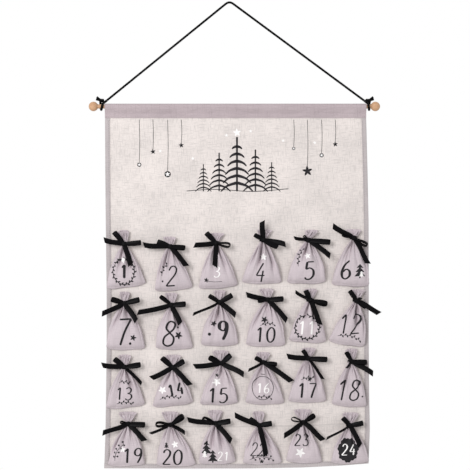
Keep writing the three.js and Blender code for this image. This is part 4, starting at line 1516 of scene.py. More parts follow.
# The banner
@dataclass
class Banner:
    """The cloths: front panel, lining, the rod pocket over the dowel, and three folded bindings."""

    finishes: Finishes
    seam_blend: float = 2
    panel_rows: int = 190
    panel_columns: int = 150
    stitch_inset: float = 1.9
    fold_power: float = 0.6
    puff_mean: float = 0.8
    puff_swell: float = 0.9
    puff_wrinkle: float = 0.55
    puff_pucker: float = 0.15
    puff_rise: float = 6
    puff_inset: float = 4
    puff_fade: float = 14
    pocket_bend: float = 6
    pocket_columns: int = 240
    lining_rows: int = 120
    lining_columns: int = 90
    lining_room: float = 0.1
    ground_level: float = -360
    string_drop: float = 3

    def build(self) -> None:
        """Makes the sheets, the bindings with their stitches, and the title's ornaments."""
        bindings = self.bindings()
        pocket = self.pocket()
        panel = self.panel()
        lining = self.lining()
        for piece in (pocket, panel, lining, *bindings):
            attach(piece, "banner")
            log.info("made %s", piece.name)
        self.ornaments().finish("panel_print", "banner", self.finishes)
        log.info("made panel_print")

    def cloth_grid(self, rows: int, columns: int) -> tuple[Array, Array]:
        """Places of a grid between the bindings.

        Each row runs from edge to edge; rows run from the tuck above the seam down to the bottom fold.

        Args:
            rows: how many rows of points.
            columns: how many columns of points.

        Returns:
            x and height in the dowel's frame, (rows, columns) each.
        """
        down = np.linspace(0, 1, rows)[:, None]
        across = np.linspace(0, 1, columns)[None]
        top = FRAME.seam_level + FRAME.seam_tuck
        level = top + (OUTLINE.bottom(across) + FRAME.cloth_inset - top) * down
        share = OUTLINE.down_at(across, level)
        left = OUTLINE.left(share) + FRAME.cloth_inset
        right = OUTLINE.right(share) - FRAME.cloth_inset
        return left + (right - left) * across, level

    def panel(self) -> Piece:
        """The front cloth: its plane less the folds, with a like back.

        Returns:
            The piece.
        """
        x, level = self.cloth_grid(self.panel_rows, self.panel_columns)
        front, _ = OUTLINE.front(np.stack([x, level - FRAME.hang_drop], -1))
        back = front + [0, FRAME.panel_thickness, 0]
        shells = [slab(front, back)]
        return stand_in("panel_cloth", "front_panel", shells, [self.finishes.panel])

    def lining(self) -> Piece:
        """The back cloth, flat but for ripples, two crossed sines, in the room that it leaves.

        Returns:
            The piece.
        """
        x, level = self.cloth_grid(self.lining_rows, self.lining_columns)
        ripple = self.lining_room * (1 + np.sin(x / 27 + level / 60) * np.sin(level / 41))
        front = np.stack([x, FRAME.lining_front + ripple, level], -1) + DROP
        back = front + [0, FRAME.lining_thickness - 2 * self.lining_room, 0]
        shells = [slab(front, back)]
        return stand_in("lining_cloth", "back_lining", shells, [self.finishes.lining])

    def pocket_wall(self, radius: float, front: float, back: float) -> Array:
        """One wall of the pocket's section: a leg, a tangent, the arc over the dowel, and down again.

        Args:
            radius: the wall's radius round the dowel.
            front: depth of the front leg.
            back: depth of the back leg.

        Returns:
            Depth and height of the section's points, from the front hem to the back one.
        """
        join = FRAME.seam_level + FRAME.seam_tuck + self.seam_blend
        angles = []
        for depth, side in ((front, -1), (back, 1)):
            angles.append(math.atan2(join, depth) + side * math.acos(radius / math.hypot(depth, join)))
        angle = np.linspace(angles[0] + TURN, angles[1], 28)
        arc = radius * np.stack([np.cos(angle), np.sin(angle)], -1)
        share = np.linspace(0, 1, 15)[:, None]
        legs = []
        for depth, touch in ((front, arc[0]), (back, arc[-1])):
            foot, knee = np.array([depth, FRAME.seam_level]), np.array([depth, join])
            legs.append(np.concatenate([foot + (knee - foot) * share, (knee + (touch - knee) * share)[1:-1]]))
        return np.concatenate([legs[0], arc, legs[1][::-1]])

    def puff(self, x: Array, level: Array) -> Array:
        """How far the pocket's cloth stands out between its seam and the dowel.

        Two crossed slow waves, a slanting wrinkle whose sine is folded up at 0, and fine puckers, all
        fading towards the seam, the dowel and both ends.

        Args:
            x: places across.
            level: heights from the dowel's axis, (heights, 1).

        Returns:
            The distance outward, (heights, places).
        """
        rise = held((level - FRAME.seam_level) / self.puff_rise) * held(-level / self.puff_rise)
        ends = held((np.minimum(x - x[0], x[-1] - x) - self.puff_inset) / self.puff_fade)
        swell = self.puff_swell * np.sin(x / 19 + level / 4) * np.sin(x / 37 + 1)
        wrinkle = self.puff_wrinkle * np.abs(np.sin(x / 13 - level / 5))
        pucker = self.puff_pucker * np.sin(x / 2.9 + level / 5)
        return rise * ends * (self.puff_mean + swell + wrinkle + pucker)

    def pocket(self) -> Piece:
        """The rod pocket: its section drawn along X, with its puff, and its seam.

        Returns:
            The piece.
        """
        front, back = FRAME.cloth_plane - FRAME.gap, FRAME.lining_back + FRAME.gap
        inner = self.pocket_wall(FRAME.dowel_radius + FRAME.gap, front, back)
        front, back = front - FRAME.binding_thickness, back + FRAME.binding_thickness
        outer = self.pocket_wall(FRAME.pocket_outer, front, back)
        x = np.linspace(float(OUTLINE.left(0)), float(OUTLINE.right(0)), self.pocket_columns)
        puff = self.puff(x, outer[:, 1:])
        way = np.sign(outer[:, :1] - (front + back) / 2)
        walls = []
        for wall in (outer, inner):
            grid = np.broadcast_arrays(x, wall[:, :1] + way * puff, wall[:, 1:])
            walls.append(np.stack(grid, -1) + DROP)
        seam_level = FRAME.seam_level + self.stitch_inset - FRAME.hang_drop
        seam = [[end, front, seam_level] for end in x[[1, -2]]]
        shells = [slab(walls[0], walls[1]), Stitches().along(np.array(seam))]
        materials = [self.finishes.pocket, self.finishes.thread]
        return stand_in("rod_pocket_cloth", "rod_sleeve", shells, materials)

    def binding(self, name: str, node: str, edge: Array, inward: Array) -> Piece:
        """A strip folded round an edge: a squared half-oval section carried along it, and its stitches.

        Args:
            name: the piece's name.
            node: the node it stands for.
            edge: the fold's line, (points, 3), at the height of the world.
            inward: the way in from the edge, a unit point.

        Returns:
            The piece.
        """
        middle = (FRAME.cloth_plane + FRAME.lining_back) / 2
        reach = (FRAME.lining_back - FRAME.cloth_plane) / 2 + FRAME.gap
        turn = np.linspace(-math.pi / 2, math.pi / 2, 17)
        walls = []
        for thickness, inset in ((FRAME.binding_thickness, 0), (0, FRAME.binding_thickness)):
            half = reach + thickness
            arc_in = inset + half * (1 - powered(np.cos(turn), self.fold_power))
            arc_depth = half * powered(np.sin(turn), self.fold_power)
            leg = np.linspace(FRAME.binding_width, inset + half, 6)[:-1]
            into = np.concatenate([leg, arc_in, leg[::-1]])
            depth = np.pad(arc_depth, len(leg), mode="edge") + middle
            walls.append(edge[:, None] + into[:, None] * inward - depth[:, None] * FORWARD)
        front = middle - reach - FRAME.binding_thickness
        seam = edge[1:-1] + inward * (FRAME.binding_width - self.stitch_inset) + [0, front, 0]
        materials = [self.finishes.binding, self.finishes.thread]
        return stand_in(name, node, [slab(*walls), Stitches().along(seam)], materials)

    def bindings(self) -> list[Piece]:
        """The two side strips, from the top seam down to the bottom strip, and the bottom strip.

        Returns:
            The three pieces.
        """
        made = []
        for side, edge_at, across, way in (("left", OUTLINE.left, 0, 1.0), ("right", OUTLINE.right, 1, -1.0)):
            top = FRAME.seam_level - FRAME.gap
            level = np.linspace(top, float(OUTLINE.bottom(across)) + FRAME.binding_width + FRAME.gap, 160)
            x = edge_at(OUTLINE.down_at(across, level))
            edge = np.stack([x, np.zeros_like(x), level], -1) + DROP
            made.append(self.binding(f"{side}_strip", f"{side}_binding", edge, np.array([way, 0, 0])))
        across = np.linspace(0, 1, 140)
        x = OUTLINE.left(1) + (OUTLINE.right(1) - OUTLINE.left(1)) * across
        edge = np.stack([x, np.zeros_like(x), OUTLINE.bottom(across)], -1) + DROP
        made.append(self.binding("bottom_strip", "bottom_binding", edge, np.array([0, 0, 1.0])))
        return made

    def ornaments(self) -> Print:
        """The title's place holds a plain row of firs between strings of stars and balls.

        Returns:
            The print.
        """
        ink = Print(OUTLINE.front)
        middle, base = FRAME.hang_offset, self.ground_level
        for offset, height in ((0, 104), (-34, 74), (35, 80), (-64, 52), (66, 56)):
            ink.fir(middle + offset, base + height / 2, height, Ink.BLACK)
        ground = [(middle + offset, base + rise) for offset, rise in ((-96, 1), (-40, 4), (30, 0), (98, 5))]
        ink.stroke(ground, 1.3, Ink.BLACK)
        ink.star(middle, base + 112, 8, Ink.WHITE, layer=1)
        top = FRAME.seam_level - FRAME.hang_drop - self.string_drop
        strings = ((-186, 82, 4), (-160, 58, 3), (-132, 98, 6), (-106, 46, 3))
        strings += ((108, 52, 3), (134, 92, 6), (161, 64, 4), (187, 44, 3))
        for number, (offset, length, radius) in enumerate(strings):
            x, low = middle + offset, top - length
            ink.stroke([(x, top), (x + 1, top - length / 2), (x, low)], 0.9, Ink.BLACK)
            if number % 2:
                ink.star(x, low - radius, radius * 1.7, Ink.BLACK)
            else:
                ink.dot(x, low - radius, radius, Ink.BLACK)
                ink.star(x, low - radius, radius * 0.8, Ink.WHITE, layer=1)
        for offset, drop in ((-146, 60), (-84, 74), (88, 40), (148, 44), (-20, 30), (26, 22)):
            ink.star(middle + offset, top - drop, 3.4, Ink.WHITE)
        return ink


# The bags
# One bag per line: knot off the grid (shares of the pitches), left and right corner (shares of the
# bag's width and drop, from the knot), mouth lean, height and width (shares of the mouth), fullness
BAG_SHARES = (
    ((-0.03, -0.035), (-0.46, 1.05), (0.56, 0.94), (-0.06, 1.18, 0.7), -0.5),
    ((-0.02, -0.075), (-0.39, 1.05), (0.585, 0.97), (-0.04, 0.85, 0.85), -0.3),
    ((-0.01, -0.02), (-0.44, 1.07), (0.57, 1.0), (0.06, 0.89, 1.0), -0.3),
    ((0.03, 0.03), (-0.56, 1.0), (0.48, 1.0), (0.08, 0.93, 1.07), -0.4),
    ((0.02, 0.03), (-0.545, 1.0), (0.455, 1.0), (0.28, 0.89, 0.92), 0.5),
    ((0.02, 0.065), (-0.57, 1.09), (0.4, 1.13), (-0.02, 0.76, 1.2), 0.3),
    ((-0.02, -0.01), (-0.47, 1.08), (0.53, 1.07), (0, 0.97, 0.77), 0.5),
    ((0.01, -0.04), (-0.4, 1.03), (0.56, 1.02), (-0.02, 1.03, 0.92), 0.3),
    ((0.07, 0.005), (-0.48, 1.01), (0.48, 1.0), (0, 1.03, 0.85), 0.8),
    ((0.125, 0.05), (-0.56, 1.08), (0.455, 1.08), (-0.08, 0.93, 1.07), 0.6),
    ((0.06, 0.04), (-0.545, 0.95), (0.415, 1.0), (0.04, 0.97, 0.92), -0.1),
    ((0.08, 0.03), (-0.72, 0.96), (0.21, 1.08), (0.1, 0.97, 1.0), 0.1),
    ((-0.02, -0.06), (-0.49, 0.99), (0.52, 0.9), (0, 1.01, 0.89), -0.1),
    ((0.04, -0.07), (-0.52, 0.94), (0.52, 0.84), (0.02, 1.06, 1.07), 0),
    ((0.11, 0), (-0.56, 0.97), (0.43, 0.95), (-0.06, 1.06, 1.2), 0.1),
    ((0.03, 0.015), (-0.455, 0.97), (0.545, 0.97), (0, 0.85, 1.0), 0.1),
    ((0.02, 0.08), (-0.52, 1.02), (0.47, 1.02), (0.06, 0.89, 1.0), 0),
    ((-0.03, 0.03), (-0.505, 1.02), (0.4, 1.07), (0.04, 1.06, 0.85), -0.1),
    ((0.06, 0.005), (-0.53, 1.0), (0.43, 0.97), (-0.06, 0.97, 1.3), 0.4),
    ((0, -0.01), (-0.365, 0.98), (0.65, 0.96), (-0.1, 1.06, 1.2), 0.2),
    ((-0.02, 0.015), (-0.43, 0.96), (0.53, 0.94), (-0.02, 1.06, 1.07), 0.2),
    ((-0.06, -0.02), (-0.415, 0.92), (0.6, 0.9), (-0.04, 1.14, 0.85), 0),
    ((-0.09, 0.03), (-0.44, 0.94), (0.49, 0.96), (-0.04, 1.06, 1.2), 0.1),
    ((-0.065, -0.025), (-0.48, 0.9), (0.505, 0.87), (0.08, 1.06, 1.2), 0.2),
)


@dataclass
class Bag:
    """One gathered cotton bag, as a surface of the angle round it and the way up it."""

    index: int
    seed: int = 400
    gather_seed: int = 900
    width: float = 73
    drop: float = 82
    neck_width: float = 11.6
    neck_depth: float = 9
    waist_height: float = 6.4
    mouth_width: float = 24.7
    mouth_height: float = 23.3
    mouth_depth: float = 10
    mouth_slope_share: float = 0.7
    bottom_sag: float = 1.5
    foot_wave: float = 0.5
    corner_lift: float = 2.4
    fullness_share: float = 0.09
    back: float = -1.1
    foot: float = -1.6
    neck_back: float = -2.5
    wall: float = 0.55
    rim_wave: float = 1.3
    back_dip: float = 1.2
    pleat_depth: float = 2.8
    body_power: float = 0.8
    reading_step: float = 0.004
    pleat_count: int = 9
    pleat_start: float = 0.25
    columns: int = 160
    front_density: float = 0.45
    body_rows: int = 72
    neck_rows: int = 4
    ruffle_rows: int = 22
    inner_rows: int = 14
    rim_rise: float = 1.008
    height_shares: tuple[float, ...] = (0, 0.05, 0.19, 0.42, 0.55, 0.65, 0.8, 0.88, 0.961)
    width_shares: tuple[float, ...] = (0.955, 1, 0.93, 0.8, 0.67, 0.56, 0.36, 0.25, 0.16)
    depth_stations: tuple[float, ...] = (0, 0.012, 0.14, 0.36, 0.6, 0.82, 0.961)
    depths: tuple[float, ...] = (1.6, 3.4, 12.6, 18.6, 17.2, 12.6, 9)
    fold_counts: tuple[int, ...] = (17, 12, 8, 5)
    fold_depths: tuple[float, ...] = (0.9, 2.3, 3.2, 2.0)
    fold_reaches: tuple[float, ...] = (0.2, 0.36, 0.58, 0.9)
    crest_power: float = 0.42
    crease_depth: float = 0.6
    hem_depth: float = 0.6
    hem_height: float = 0.04
    hem_spread: float = 0.009
    pucker_depth: float = 0.3
    back_share: float = 0.12
    seam_height: float = 0.05
    squeeze_share: float = 0.55
    squeeze_span: Pair = (0.9, 0.96)
    foot_height: float = 0.03
    foot_span: Pair = (0.14, 0.36)
    neck_start: float = 0.8
    neck_back_start: float = 0.82
    front_slope: float = 0.9
    front_start: float = 0.45
    mouth_front_start: float = 0.6
    mouth_back_share: float = 0.35
    mouth_power: float = 0.85
    pleat_power: float = 0.7
    pleat_level: float = 1.2
    pleat_growth: float = 0.9
    pleat_wander: float = 1.6
    pleat_range: Pair = (0.8, 0.3)
    fine_share: float = 0.45
    fine_count: int = 17
    # Slow waves: each one's depth, its factors of the angle (or its cosine) and the height, and its phase
    bend_waves: tuple[Wave, ...] = ((0.77, 0, 3, 8), (0.55, 2, 0, 9))
    crease_waves: tuple[Wave, ...] = ((1, 2.6, 7, 5), (0.7, 4.3, -10, 6))
    wander_waves: tuple[Wave, ...] = ((0.5, 2, 0, 3), (0.4, 3, 0, 4))
    fold_level: float = 1.25
    fold_fade: float = 1.6
    fold_swing: float = 0.5
    gather_count: int = 7
    ridge_share: float = 0.2
    ridge_place: float = 2
    ridge_width: float = 1.1
    gather_fade: float = 0.3
    gather_fade_power: float = 1.5
    # Ranges from which a gather's place, drift, width, depth and reach are drawn
    gather_ranges: tuple[Pair, ...] = ((0.5, 2.64), (-0.5, 0.5), (0.1, 0.17), (3.4, 6.2), (0.35, 0.85))

    def __post_init__(self) -> None:
        """Reads the bag's own line of shares, and draws its folds' places."""
        self.knot_share, self.left, self.right, self.mouth, self.fullness = BAG_SHARES[self.index]
        self.random = np.random.default_rng(self.seed + self.index)
        self.phases = self.random.uniform(0, TURN, 12)
        lows, highs = np.array(self.gather_ranges).T
        gather_random = np.random.default_rng(self.gather_seed + self.index)
        self.gathers = gather_random.uniform(lows, highs, (self.gather_count, len(lows)))

    @property
    def number(self) -> str:
        """The bag's number in the names of its pieces."""
        return f"{self.index + 1:02d}"

    @property
    def knot(self) -> Array:
        """Where the bag's knot lies on the banner.

        Returns:
            The place, from the hanging point.
        """
        column = self.index % FRAME.columns - (FRAME.columns - 1) / 2 + self.knot_share[0]
        row = FRAME.rows - 1 - self.index // FRAME.columns + self.knot_share[1]
        x = FRAME.hang_offset + FRAME.grid_offset + column * FRAME.column_pitch
        z = FRAME.bottom_level + FRAME.last_row_rise + row * FRAME.row_pitch - FRAME.hang_drop
        return np.array([x, FRAME.cloth_plane, z])

    def table(self, stations: tuple[float, ...], values: tuple[float, ...], at: Array) -> Array:
        """Reads a table along a smooth line through its stations."""
        line = through(np.array([stations, values]).T, 8)
        return np.interp(at, line[:, 0], line[:, 1])

    def width_at(self, height: Array) -> Array:
        """Width at a share of the height: the table's, fuller or slimmer in the middle by a sine.

        Args:
            height: share of the way up from the bottom to the knot.

        Returns:
            The width.
        """
        share = self.fullness_share * self.fullness * np.sin(math.pi * held(height)) ** 1.5
        share = self.table(self.height_shares, self.width_shares, height) + share
        return (self.right[0] - self.left[0]) * self.width * share

    def middle_at(self, height: Array) -> Array:
        """Place of the bag's middle at a share of the height, on the line from its corners' middle."""
        return (self.left[0] + self.right[0]) / 2 * self.width * (1 - height)

    def drop_at(self, across: Array) -> Array:
        """How far the bottom seam hangs under the knot at a share across, -1 to 1."""
        return (self.left[1] + (self.right[1] - self.left[1]) * (1 + across) / 2) * self.drop

    def waves(self, rows: tuple[Wave, ...], across: Array, height: Array) -> Array:
        """The sum of sines over a measure across and the height, as the rows say."""
        return sum(deep * np.sin(one * across + up * height + self.phases[at]) for deep, one, up, at in rows)

    def kept(self, angle: Array, least: float, start: float) -> Array:
        """Share of the folds kept round the bag: the least one at its back, rising to 1 in front."""
        return least + (1 - least) * held(start + self.front_slope * np.sin(angle))

    def folds(self, angle: Array, height: Array) -> Array:
        """How far the cloth stands out in folds.

        Waves round the bag, round on top and sharp in the hollows, of several counts; each count is
        deepest at the neck and dies away downward over its own reach. Narrow gathers run down the front
        from the neck, each a hollow between two low ridges. The back, which lies on the
        banner, keeps little of them. Slow creases cross the body.

        Args:
            angle: round the bag from its right side over its front.
            height: share of the way up from the bottom.

        Returns:
            The distance outward.
        """
        total = np.zeros(np.broadcast(angle, height).shape)
        down = held(1 - height)
        bend = self.waves(self.bend_waves, angle, height)
        rows = zip(self.fold_counts, self.fold_depths, self.fold_reaches, self.phases)
        for count, depth, reach, phase in rows:
            crest = (0.5 + 0.5 * np.cos(count * angle + phase + bend)) ** self.crest_power
            own = 1 + self.fold_swing * np.sin(2 * angle + 3 * phase)
            fade = np.exp(-((down / reach) ** self.fold_fade))
            total = total + depth * own * (2 * crest - self.fold_level) * fade
        for place, drift, wide, deep, reach in self.gathers:
            off = (angle - place - drift * down) / wide
            ridges = self.ridge_share * np.exp(-(((np.abs(off) - self.ridge_place) / self.ridge_width) ** 2))
            fade = held((reach - down) / self.gather_fade) ** self.gather_fade_power
            total = total + deep * fade * (ridges - np.exp(-(off**2)))
        crease = self.waves(self.crease_waves, np.cos(angle), height)
        total = total + self.crease_depth * crease * np.sin(math.pi * held(height))
        hem = -self.hem_depth * np.exp(-(((height - self.hem_height) / self.hem_spread) ** 2))
        pucker = self.pucker_depth * np.cos(26 * math.pi * height) * np.abs(np.cos(angle)) ** 8
        seam = ramp(height, 0, self.seam_height)
        squeeze = 1 - self.squeeze_share * ramp(height, *self.squeeze_span)
        kept = self.kept(angle, self.back_share, self.front_start)
        return (total * seam * squeeze + hem + pucker * seam) * kept

    def section(
        self, angle: Array, width: Array, back: Array, depth: Array, power: float, out: Array
    ) -> tuple[Array, Array, Array, Array]:
        """A squared oval from its back to its front, moved outward along its own normal.

        Args:
            angle: round the oval.
            width: its width.
            back: depth of its back.
            depth: how deep it is.
            power: below 1 it is squarer than an oval.
            out: how far the cloth stands out.

        Returns:
            x from the oval's middle, y, the share across (-1 to 1) and the share to the front (0 to 1).
        """
        across = powered(np.cos(angle), power)
        front = (1 + powered(np.sin(angle), power)) / 2
        lean = np.stack([np.cos(angle) * depth, -np.sin(angle) * width])
        lean = lean / np.linalg.norm(lean, axis=0)
        return across * width / 2 + lean[0] * out, back - front * depth + lean[1] * out, across, front

    def body(self, angle: Array, height: Array) -> Array:
        """The bag below its neck.

        At each height a squared oval whose width and depth follow the two tables, swung with the
        corners and hung lower where the seam hangs lower, with the folds standing out of it.

        Args:
            angle: round the bag from its right side over its front.
            height: share of the way up from the bottom to the knot.

        Returns:
            The points, from the knot.
        """
        top = self.height_shares[-1]
        neck = ramp(height, self.neck_start, top) ** 2
        width = self.width_at(height) * (1 - neck) + self.neck_width * neck
        depth = self.table(self.depth_stations, self.depths, height)
        back = self.foot + (self.back - self.foot) * ramp(height, *self.foot_span)
        back = back + (self.neck_back - self.back) * ramp(height, self.neck_back_start, top)
        power = self.body_power + (1 - self.body_power) * neck
        x, y, across, _ = self.section(angle, width, back, depth, power, self.folds(angle, height))
        z = -self.drop_at(across) * (1 - height) - self.bottom_sag * (1 - across**2) * (1 - height) ** 6
        foot = self.foot_wave * np.sin(5 * across + self.phases[7]) + self.corner_lift * np.abs(across) ** 9
        z = z + foot * np.exp(-((height / self.foot_height) ** 2))
        return np.stack(np.broadcast_arrays(self.middle_at(height) + x, y, z), -1)

    def ruffle(self, angle: Array, rise: Array, inward: Array | float) -> Array:
        """The gathered mouth above the neck.

        The oval opens upward; pleats grow from the neck to the rim, which waves and hangs lower in front.

        Args:
            angle: round the mouth from its right side over its front.
            rise: share of the way up from the ribbon to the rim.
            inward: how far inside the outer face the point lies.

        Returns:
            The points, from the knot.
        """
        lean, tall, wide = self.mouth
        width = self.neck_width + (self.mouth_width * wide - self.neck_width) * rise**self.mouth_power
        depth = self.neck_depth + (self.mouth_depth - self.neck_depth) * rise
        back = self.neck_back + (self.back - self.neck_back) * rise
        wander = self.waves(self.wander_waves, angle, rise)
        crest = 0.5 + 0.5 * np.cos(self.pleat_count * angle + self.phases[1] + self.pleat_wander * wander)
        pleat = 2 * crest**self.pleat_power - self.pleat_level
        fine = self.fine_share * np.cos(self.fine_count * angle + self.phases[0] + 3 * rise)
        strength = self.pleat_start + (self.pleat_depth - self.pleat_start) * rise**self.pleat_growth
        kept = self.kept(angle, self.mouth_back_share, self.mouth_front_start)
        least, swing = self.pleat_range
        out = strength * (pleat * (least + swing * wander) + fine) * kept - inward
        x, y, _, front = self.section(angle, width, back, depth, 1, out)
        top = self.mouth_height * tall
        waist = self.waist_height / 2
        wave = self.rim_wave * (np.sin(4 * angle + self.phases[2]) + 0.6 * pleat) * rise**2 * front
        wave = wave - self.back_dip * rise**2 * (1 - front) ** 4
        z = waist + rise * (top - waist - front * self.mouth_depth * self.mouth_slope_share) + wave
        x = x + self.mouth_width * lean * rise
        return np.stack(np.broadcast_arrays(x, np.minimum(y, -0.4), z), -1)

    def make(self, finishes: Finishes) -> Piece:
        """Joins body, neck, ruffle and the ruffle's inner wall into one closed skin.

        Args:
            finishes: the materials.

        Returns:
            The piece.
        """
        share = np.arange(self.columns) / self.columns
        angle = (TURN * share + self.front_density * np.cos(TURN * share))[None]
        top = self.height_shares[-1]
        low = np.linspace(0, 1, self.body_rows)[:, None]
        height = top * (0.35 * low**2 + 0.65 * low)
        lower = self.body(angle, height)
        outer = self.ruffle(angle, np.linspace(0, 1, self.ruffle_rows)[:, None], 0)
        share = np.linspace(0, 1, self.neck_rows + 2)[1:-1, None, None]
        neck = lower[-1] + (outer[0] - lower[-1]) * share
        rim = self.ruffle(angle, np.array([[self.rim_rise]]), self.wall / 2)
        inner = self.ruffle(angle, np.linspace(1, 0.05, self.inner_rows)[:, None], self.wall)
        rings = np.concatenate([lower, neck, outer, rim, inner]) + self.knot
        name = f"bag_{self.number}"
        return stand_in(f"{name}_cotton", name, [tubes(rings[None])], [finishes.bag], 70)

    def front(self, place: Array) -> tuple[Array, Array]:
        """Points of the bag's front over places measured from its knot, and the way out of the cloth.

        The height and the share across that lead to a place are found by turns, a few times over.

        Args:
            place: x and z from the knot, (..., 2).

        Returns:
            The points and the outward directions, (..., 3) each.
        """
        x, z = place[..., 0], place[..., 1]
        across = np.zeros_like(x)
        for _ in range(6):
            height = np.clip(1 + z / self.drop_at(across), 0.04, 0.94)
            across = np.clip((x - self.middle_at(height)) * 2 / self.width_at(height), -0.94, 0.94)
        angle = np.arccos(powered(across, 1 / self.body_power))
        point = self.body(angle, height)
        step = self.reading_step
        round_way = self.body(angle + step, height) - self.body(angle - step, height)
        up_way = self.body(angle, height + step) - self.body(angle, height - step)
        out = unit(np.cross(round_way, up_way))
        out = out * np.where(out[..., 1:2] > 0, -1, 1)
        return point + self.knot, out


# The ribbons
@dataclass(frozen=True)
class Arm:
    """How an arm of a bow lies: its turn from broad side on, and its ways as a loop and as a tail."""

    turn: float
    loop_opening_share: float = 0.36
    loop_width_share: float = 1
    loop_swing: float = 0.4
    tail_start: float = 0.85
    tail_width_share: float = 1
    tail_swing: float = 0


# Broad side to the front, open (half turned), and thin (seen nearly on its edge)
ARMS = {
    "b": Arm(0.3, loop_opening_share=0, tail_start=0.25),
    "o": Arm(0.82, loop_width_share=0.78, loop_swing=1.6),
    "t": Arm(0.8, tail_width_share=0.8, tail_swing=1.4),
}

# Ends of each bow from its knot, as shares of its reach: left loop, right loop, left and right tail,
# then how each of the four lies (broad, open or thin) and its width as a share of the ribbon's
BOW_SHARES = (
    (((-0.43, 0.57), (0.8, 0.03), (-0.93, 0.19), (0.33, -1)), "bbbb", (1, 1, 1, 1)),
    (((-0.57, 0.24), (0.71, -0.1), (-1.24, 0.07), (0.79, -0.93)), "bbbb", (1, 1, 1, 1)),
    (((-0.43, 0.49), (0.67, -0.14), (-1.02, -0.1), (-0.05, -1.1)), "bobb", (1, 1, 1, 1)),
    (((-0.4, 0.26), (0.67, -0.33), (-0.05, 0.88), (1.05, -0.21)), "bbbb", (0.8, 1.2, 1, 1)),
    (((-0.22, 0.21), (1.02, -0.14), (-0.67, 0.1), (1.02, -0.76)), "obtb", (0.6, 1, 1, 1)),
    (((-0.55, 0.19), (0.6, -0.38), (-1, 0.56), (0.64, -1.21)), "oobb", (0.7, 0.8, 1, 1)),
    (((-0.6, 0.21), (0.71, 0.14), (-1.05, -0.5), (0.58, -0.84)), "bbbb", (1, 1, 1, 1)),
    (((-0.5, 0.43), (0.67, 0.02), (-1.58, -0.35), (0.43, -0.88)), "bbbb", (0.8, 1, 1, 1)),
    (((-0.48, 0.33), (0.6, 0.31), (-1.25, -0.56), (0.76, -0.6)), "bbtb", (0.8, 1, 1, 1)),
    (((-0.45, -0.05), (0.74, 0), (-1, 0.23), (0.9, -0.98)), "bbbb", (0.8, 1, 1, 1)),
    (((-0.19, 0.46), (0.79, -0.21), (-0.7, 0.4), (0.44, -1.13)), "botb", (1, 1, 1, 1)),
    (((-0.31, 0.48), (0.43, -0.31), (0.2, 0.14), (1.05, -0.6)), "bbtb", (0.9, 0.9, 0.8, 1)),
    (((-0.45, 0.4), (0.76, 0.08), (-1.05, 0.09), (0.83, -0.77)), "bbbt", (1, 1, 1, 1)),
    (((-0.48, 0.48), (0.55, 0.29), (-1, -0.49), (0.83, -0.81)), "bbbb", (1, 1, 1, 1)),
    (((-0.57, 0.31), (0.45, 0.38), (-1.28, -0.14), (1.06, -0.52)), "obbb", (1, 1, 1, 1)),
    (((-0.36, 0.24), (0.64, -0.12), (-0.71, -0.36), (1.33, -0.88)), "botb", (0.8, 0.8, 1, 1)),
    (((-0.24, 0.4), (0.88, -0.08), (-1, 0.11), (0.67, -0.95)), "bbbt", (0.8, 1, 1, 1)),
    (((-0.24, 0.46), (0.71, -0.07), (-0.25, -0.3), (1, -0.56)), "bbtb", (0.8, 1, 0.8, 1)),
    (((-0.36, 0.1), (0.79, -0.08), (-1.19, -0.42), (0.8, -0.78)), "obbb", (0.6, 1, 1, 1)),
    (((-0.71, 0.05), (0.62, 0.41), (-0.96, -0.4), (0.67, -0.37)), "oott", (1, 1.1, 1, 1)),
    (((-0.6, 0.26), (0.7, 0.07), (-1.31, 0.17), (0.75, -0.83)), "obbb", (0.8, 1, 1, 1)),
    (((-0.43, 0.33), (0.59, 0.07), (-1.15, 0.5), (0.31, -1.38)), "bbbb", (0.9, 1, 1, 1)),
    (((-0.55, 0.21), (0.55, 0.33), (-0.92, -0.62), (0.92, -0.82)), "oobb", (0.8, 0.9, 1, 1)),
    (((-0.33, 0.38), (0.61, 0.1), (-1.12, -0.58), (0.47, -0.93)), "bbtb", (0.9, 1, 1, 1)),
)


